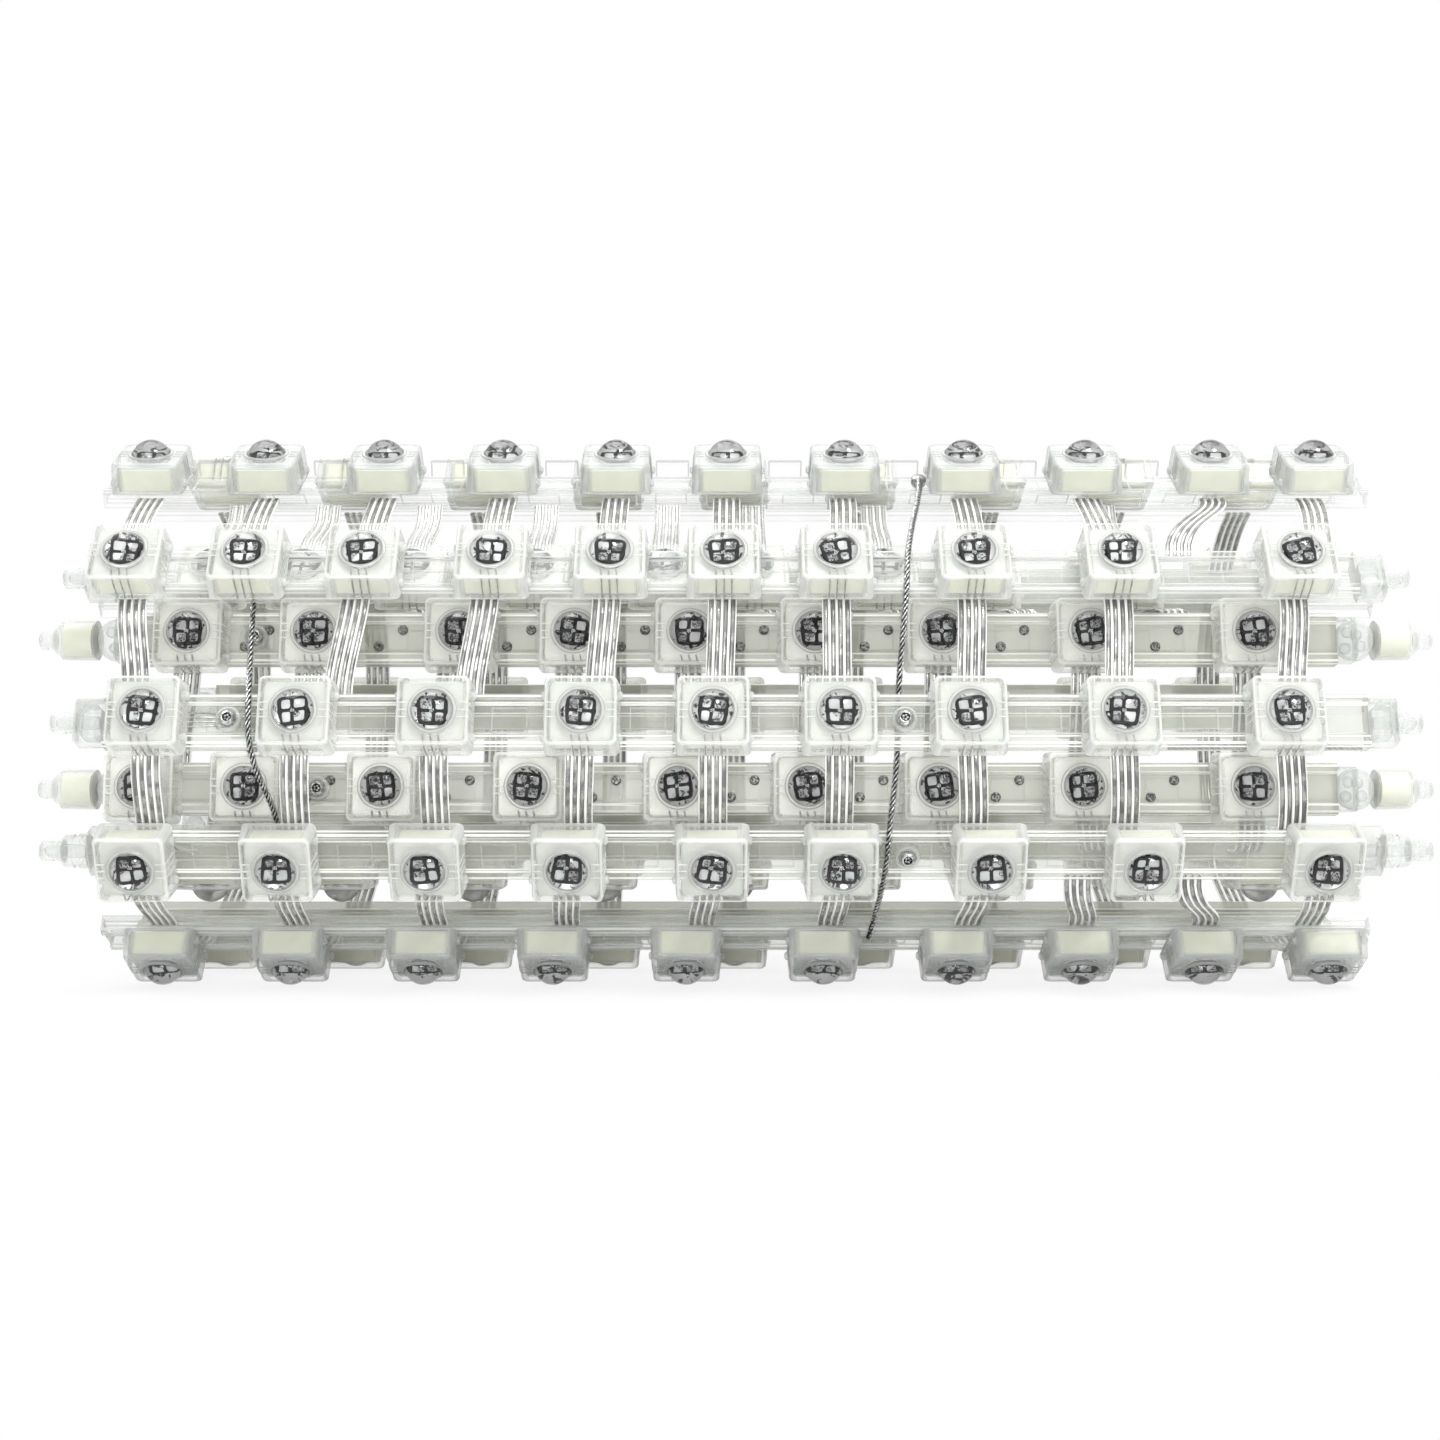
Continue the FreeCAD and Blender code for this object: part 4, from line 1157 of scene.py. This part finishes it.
def make_stop():
    """The crimped stop of the long rope, on the first rail."""
    stop = Form()
    stop.upright_lathe([(2.2, -1.5), (2.8, -0.6), (3.0, 0.8), (2.8, 2.2), (2.1, 2.9), (1.0, 3.1)],
                       sides=20)
    low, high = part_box("rope_stop")
    along = (low.x + high.x) / 2 / MM
    repeated("crimped_stop", stop.mesh("stop_form"), [rails[1].spot(along)], STRAND,
             "ferrule_metal", "rope_stop")


# Ribbons

def ribbon_ends(corners):
    """The two rail sides that a ribbon's solid joins, with its places along them."""
    ends = {}
    for corner in corners:
        def distance(side_of_rail):
            rail, side = side_of_rail
            across, up = rail.local(corner)
            return math.hypot(across - side * RAIL_WIDTH / 2, up + RIBBON_LEVEL)

        sides = [(rail, side) for rail in rails.values() for side in (-1, 1)]
        rail, side = min(sides, key=distance)
        ends.setdefault((rail.number, side), []).append(corner.x)
    return [(rails[number], side, sum(places) / len(places))
            for (number, side), places in ends.items()]


def smooth_step(share):
    return share * share * (3 - 2 * share)


def bent_path(start, start_way, end, end_way, steps):
    """Points along a smooth bend that leaves start along start_way and meets end from end_way."""
    pull = 0.36 * (end - start).length
    first = start + start_way * pull
    last = end + end_way * pull
    path = []
    for k in range(steps + 1):
        t = k / steps
        point = (start * (1 - t) ** 3 + first * 3 * t * (1 - t) ** 2
                 + last * 3 * t * t * (1 - t) + end * t ** 3)
        point.x = start.x + (end.x - start.x) * smooth_step(t)
        path.append(point)
    return path


def lobed_section():
    """The ribbon's outline across and through: four round lobes side by side, with edge marks that
    whiten the webs between them: painted highlights."""
    outline = []
    marks = []
    radius = CORE_SPACING / 2
    for face in (1, -1):
        for core in CORE_PLACES[::-face]:
            for turn, mark in ((8.0, 1.0), (40.0, 1.0), (52.0, 0.0), (128.0, 0.0), (140.0, 1.0),
                               (172.0, 1.0)):
                angle = math.radians(turn)
                outline.append((core * CORE_SPACING + face * radius * math.cos(angle),
                                face * (WEB_HALF + LOBE_RISE * math.sin(angle))))
                marks.append(mark)
    return outline, marks


RIBBON_STEPS = 10
SECTION, SECTION_EDGES = lobed_section()


def add_ribbon(jackets, cores, path):
    """A ribbon along a path: its lobed jacket and its four cores."""
    aside = Vector((1, 0, 0))
    sections = []
    lines = [[] for place in CORE_PLACES]
    for k, point in enumerate(path):
        way = path[min(k + 1, len(path) - 1)] - path[max(k - 1, 0)]
        facing = way.cross(aside).normalized()
        sections.append([point + aside * across + facing * through for across, through in SECTION])
        for place, line in zip(CORE_PLACES, lines):
            line.append(point + aside * (place * CORE_SPACING))
    jackets.stack(sections, SECTION_EDGES)
    for line in lines:
        cores.tube(line, CORE_RADIUS, 6)


def show_ribbons(node, paths, wire):
    """The two pieces of a CAD node's ribbons: their jackets, and their cores in this wire."""
    jackets = Form()
    cores = Form()
    for path in paths:
        add_ribbon(jackets, cores, path)
    single("clear_" + node, jackets.mesh("clear_" + node, 50.0), CLEAR_JACKET, "ribbon", node)
    single("cores_of_" + node, cores.mesh("cores_of_" + node, 60.0), wire, "ribbon")


def make_ribbons(node):
    """Every ribbon of a CAD node, bent smoothly from rail to rail."""
    paths = []
    for corners in separate_solids(node):
        (rail, side, along), (other, other_side, other_along) = ribbon_ends(corners)
        reach = RAIL_WIDTH / 2 - RIBBON_INSET
        paths.append(bent_path(rail.point(along, side * reach, -RIBBON_LEVEL), rail.across * side,
                               other.point(other_along, other_side * reach, -RIBBON_LEVEL),
                               other.across * other_side, RIBBON_STEPS))
    show_ribbons(node, paths, CORE_WIRE)


def make_link_ribbons():
    """The ribbons that step from the outer turn's last rail to the inner turn's first."""
    paths = []
    outer = rails[10]
    inner = rails[11]
    for along in inner.stations:
        start = outer.point(along, -5.0, -RAIL_DEPTH)
        end = inner.point(along, RAIL_WIDTH / 2 - RIBBON_INSET, -RIBBON_LEVEL)
        turn_point = inner.point(along, COVER_WIDTH / 2 + 6.0, RIBBON_LEVEL)
        path = bent_path(start, -outer.outward, turn_point, (start - end).normalized(), 5)
        path += bent_path(turn_point, (end - start).normalized(), end, inner.across, 5)[1:]
        paths.append(path)
    # The link ribbons' cores use the lighter copy of the core wire: painted light
    show_ribbons("link_ribbons", paths, LINK_WIRE_PAINTED_LIGHT)


# Ropes

def beside_rail(row, along, side, behind=False, lift=0.0):
    """A rope's point in front of a row's rail or behind it; side is +1 at its upper edge, -1 at its
    lower."""
    reach = ROPE_DIAMETER / 2 + ROPE_CLEARANCE + lift
    level = -RAIL_DEPTH - reach if behind else reach
    return rails[row].point(along, side * RAIL_WIDTH / 2, level)


def smooth_line(points):
    """Points along the smooth line that these route points control."""
    curve = bpy.data.curves.new("route", "CURVE")
    curve.dimensions = "3D"
    curve.resolution_u = 24
    spline = curve.splines.new("NURBS")
    spline.points.add(len(points) - 1)
    for control, point in zip(spline.points, points):
        control.co = (*point, 1.0)
    spline.order_u = 3
    spline.use_endpoint_u = True
    carrier = bpy.data.objects.new("route", curve)
    bpy.context.scene.collection.objects.link(carrier)
    view = bpy.context.evaluated_depsgraph_get()
    mesh = bpy.data.meshes.new_from_object(carrier.evaluated_get(view), depsgraph=view)
    line = [corner.co.copy() for corner in mesh.vertices]
    bpy.data.objects.remove(carrier)
    bpy.data.meshes.remove(mesh)
    even = [line[0]]
    travelled = 0.0
    for start, end in zip(line, line[1:]):
        travelled += (end - start).length
        if travelled >= ROPE_POINT_SPACING:
            even.append(end)
            travelled = 0.0
    return even


def make_rope(name, node, points):
    """A wire rope: strands laid round a near-black core, whose black is painted shade between the
    strands.
    """
    line = smooth_line(points)
    core = Form()
    core.tube(line, ROPE_CORE_RADIUS, 8)
    form = Form()
    aside = Vector((1, 0, 0))
    strands = [[] for number in range(STRAND_COUNT)]
    travelled = 0.0
    for k, point in enumerate(line):
        way = (line[min(k + 1, len(line) - 1)] - line[max(k - 1, 0)]).normalized()
        aside = (aside - way * aside.dot(way)).normalized()
        other = way.cross(aside)
        if k:
            travelled += (point - line[k - 1]).length
        for number, strand in enumerate(strands):
            turn = 2 * math.pi * (number / STRAND_COUNT + travelled / STRAND_LAY)
            reach = aside * math.cos(turn) + other * math.sin(turn)
            strand.append(point + reach * STRAND_REACH)
    for strand in strands:
        form.tube(strand, STRAND_RADIUS, 6)
    single(name, form.mesh(name, 60.0), STRAND, "wire_rope", node)
    single("core_of_" + name, core.mesh("core_of_" + name, 60.0), ROPE_CORE_PAINTED_SHADE, "wire_rope")


def make_ropes():
    """The ropes, along the routes that their CAD solids follow."""
    make_rope("long_wire_rope", "long_rope", [
        beside_rail(1, past_module(1, 8, -1, 3.4), -0.25),
        beside_rail(1, past_module(1, 8, -1, 3.2), -1.05),
        beside_rail(2, past_module(2, 7, 1, 13.2), 1.05),
        beside_rail(2, past_module(2, 7, 1, 11.8), -1.15, lift=0.2),
        beside_rail(3, past_module(3, 6, 1, 8.1), 1.1, behind=True),
        beside_rail(3, past_module(3, 6, 1, 7.9), -1.1, behind=True),
        beside_rail(4, past_module(4, 6, 1, 3.4), 1.2, lift=0.8),
        beside_rail(4, past_module(4, 6, 1, 2.4), -1.0),
        beside_rail(5, past_module(5, 6, 1, 3.4), 1.0),
    ])
    make_rope("short_wire_rope", "short_rope", [
        beside_rail(2, past_module(3, 2, -1, 6.9), 0.3, behind=True),
        beside_rail(2, past_module(3, 2, -1, 6.5), -1.05, behind=True),
        beside_rail(3, past_module(3, 2, -1, 4.4), 1.1),
        beside_rail(3, past_module(3, 2, -1, 3.2), -1.4, lift=1.8),
        beside_rail(4, past_module(3, 2, -1, -2.5), 1.15, behind=True),
        beside_rail(4, past_module(3, 2, -1, -3.5), -0.3, behind=True),
    ])
    make_rope("cross_wire_rope", "cross_rope", [
        beside_rail(3, past_module(3, 8, 1, 5.0), -0.80, behind=True),
        beside_rail(3, past_module(3, 9, -1, 4.0), -0.72, behind=True),
        beside_rail(3, past_module(3, 9, 1, 16.5), -0.82, behind=True),
    ])


# Stage, whose lengths are in metres

SURFACE_LIGHT = 0.64
FLOOR_SHADOW = 0.15


def make_floor():
    """A pale floor that shows white and, near the roll, keeps a faint shadow."""
    finish = Finish("pale_floor")
    glow = finish.node("ShaderNodeEmission", None, {"Color": (1, 1, 1, 1), "Strength": 1.0})
    across, ahead = finish.along_axes()[:2]
    near = (finish.band(across, inner=0.25, outer=0.36)
            * finish.band(ahead - 0.03, inner=0.14, outer=0.26))
    matt = finish.node("ShaderNodeBsdfDiffuse", None, {"Color": (0.94, 0.94, 0.93, 1.0)})
    mixed = finish.node("ShaderNodeMixShader", None,
                        {0: finish.seen_straight() * (1 - near * FLOOR_SHADOW),
                         1: matt.outputs[0], 2: glow.outputs[0]})
    mesh = bpy.data.meshes.new("floor")
    mesh.from_pydata([(-1.5, -1.5, 0), (1.5, -1.5, 0), (1.5, 0.62, 0), (-1.5, 0.62, 0)],
                     [], [(0, 1, 2, 3)])
    mesh.materials.append(finish.finished(mixed.outputs[0]))
    floor = bpy.data.objects.new("floor", mesh)
    bpy.context.scene.collection.objects.link(floor)


class Backdrop(Finish):
    """The world round the roll."""

    def __init__(self):
        self.world = bpy.data.worlds.new("studio")
        self.world.use_nodes = True
        self.tree = self.world.node_tree
        self.tree.nodes.clear()


def make_world():
    """White where it is seen, looked through or mirrored, dimmer where it lights surfaces."""
    backdrop = Backdrop()
    lit = backdrop.maths("MAXIMUM", backdrop.seen_straight(), SURFACE_LIGHT)
    strength = backdrop.maths("MINIMUM", 1.0, lit)
    light = backdrop.node("ShaderNodeBackground", None,
                          {"Color": (1.0, 1.0, 1.0, 1.0), "Strength": strength})
    backdrop.node("ShaderNodeOutputWorld", None, {"Surface": light.outputs[0]})
    bpy.context.scene.world = backdrop.world


def make_lamp(name, place, size, power):
    """A soft square lamp that looks at the roll."""
    data = bpy.data.lights.new(name, "AREA")
    data.size = size
    data.energy = power
    lamp = bpy.data.objects.new(name, data)
    lamp.location = place
    way = Vector((0, 0, 0.1)) - Vector(place)
    lamp.rotation_euler = way.to_track_quat("-Z", "Y").to_euler()
    bpy.context.scene.collection.objects.link(lamp)


def make_camera():
    """The photograph's view: level, square on to the roll's axis, a little left of its middle."""
    data = bpy.data.cameras.new("camera")
    data.sensor_width = 36.0
    data.lens = 56.0
    camera = bpy.data.objects.new("camera", data)
    camera.location = (-0.006, -0.9, 0.1039)
    camera.rotation_euler = (math.radians(90.0), 0.0, 0.0)
    bpy.context.scene.collection.objects.link(camera)
    bpy.context.scene.camera = camera


make_camera()
make_modules()
make_chips()
for each_rail in rails.values():
    make_rail(each_rail)
make_windows()
make_tabs()
make_recess_wires()
make_end_fittings()
make_bosses()
make_screws()
make_stop()
make_ribbons("outer_ribbons")
make_ribbons("inner_ribbons")
make_link_ribbons()
make_ropes()
for carrier in form_objects.values():
    bpy.data.objects.remove(carrier)
make_floor()
make_world()
make_lamp("key", (0.55, -0.9, 1.3), size=0.5, power=16.5)
make_lamp("top", (-0.3, 0.1, 1.6), size=1.2, power=15.0)
make_lamp("front", (-0.1, -1.5, 0.18), size=0.6, power=10.5)

scene = bpy.context.scene
scene.view_settings.view_transform = "Standard"
scene.cycles.transparent_max_bounces = 24
scene.cycles.max_bounces = 6
scene.cycles.diffuse_bounces = 2
scene.cycles.glossy_bounces = 2
scene.cycles.transmission_bounces = 4
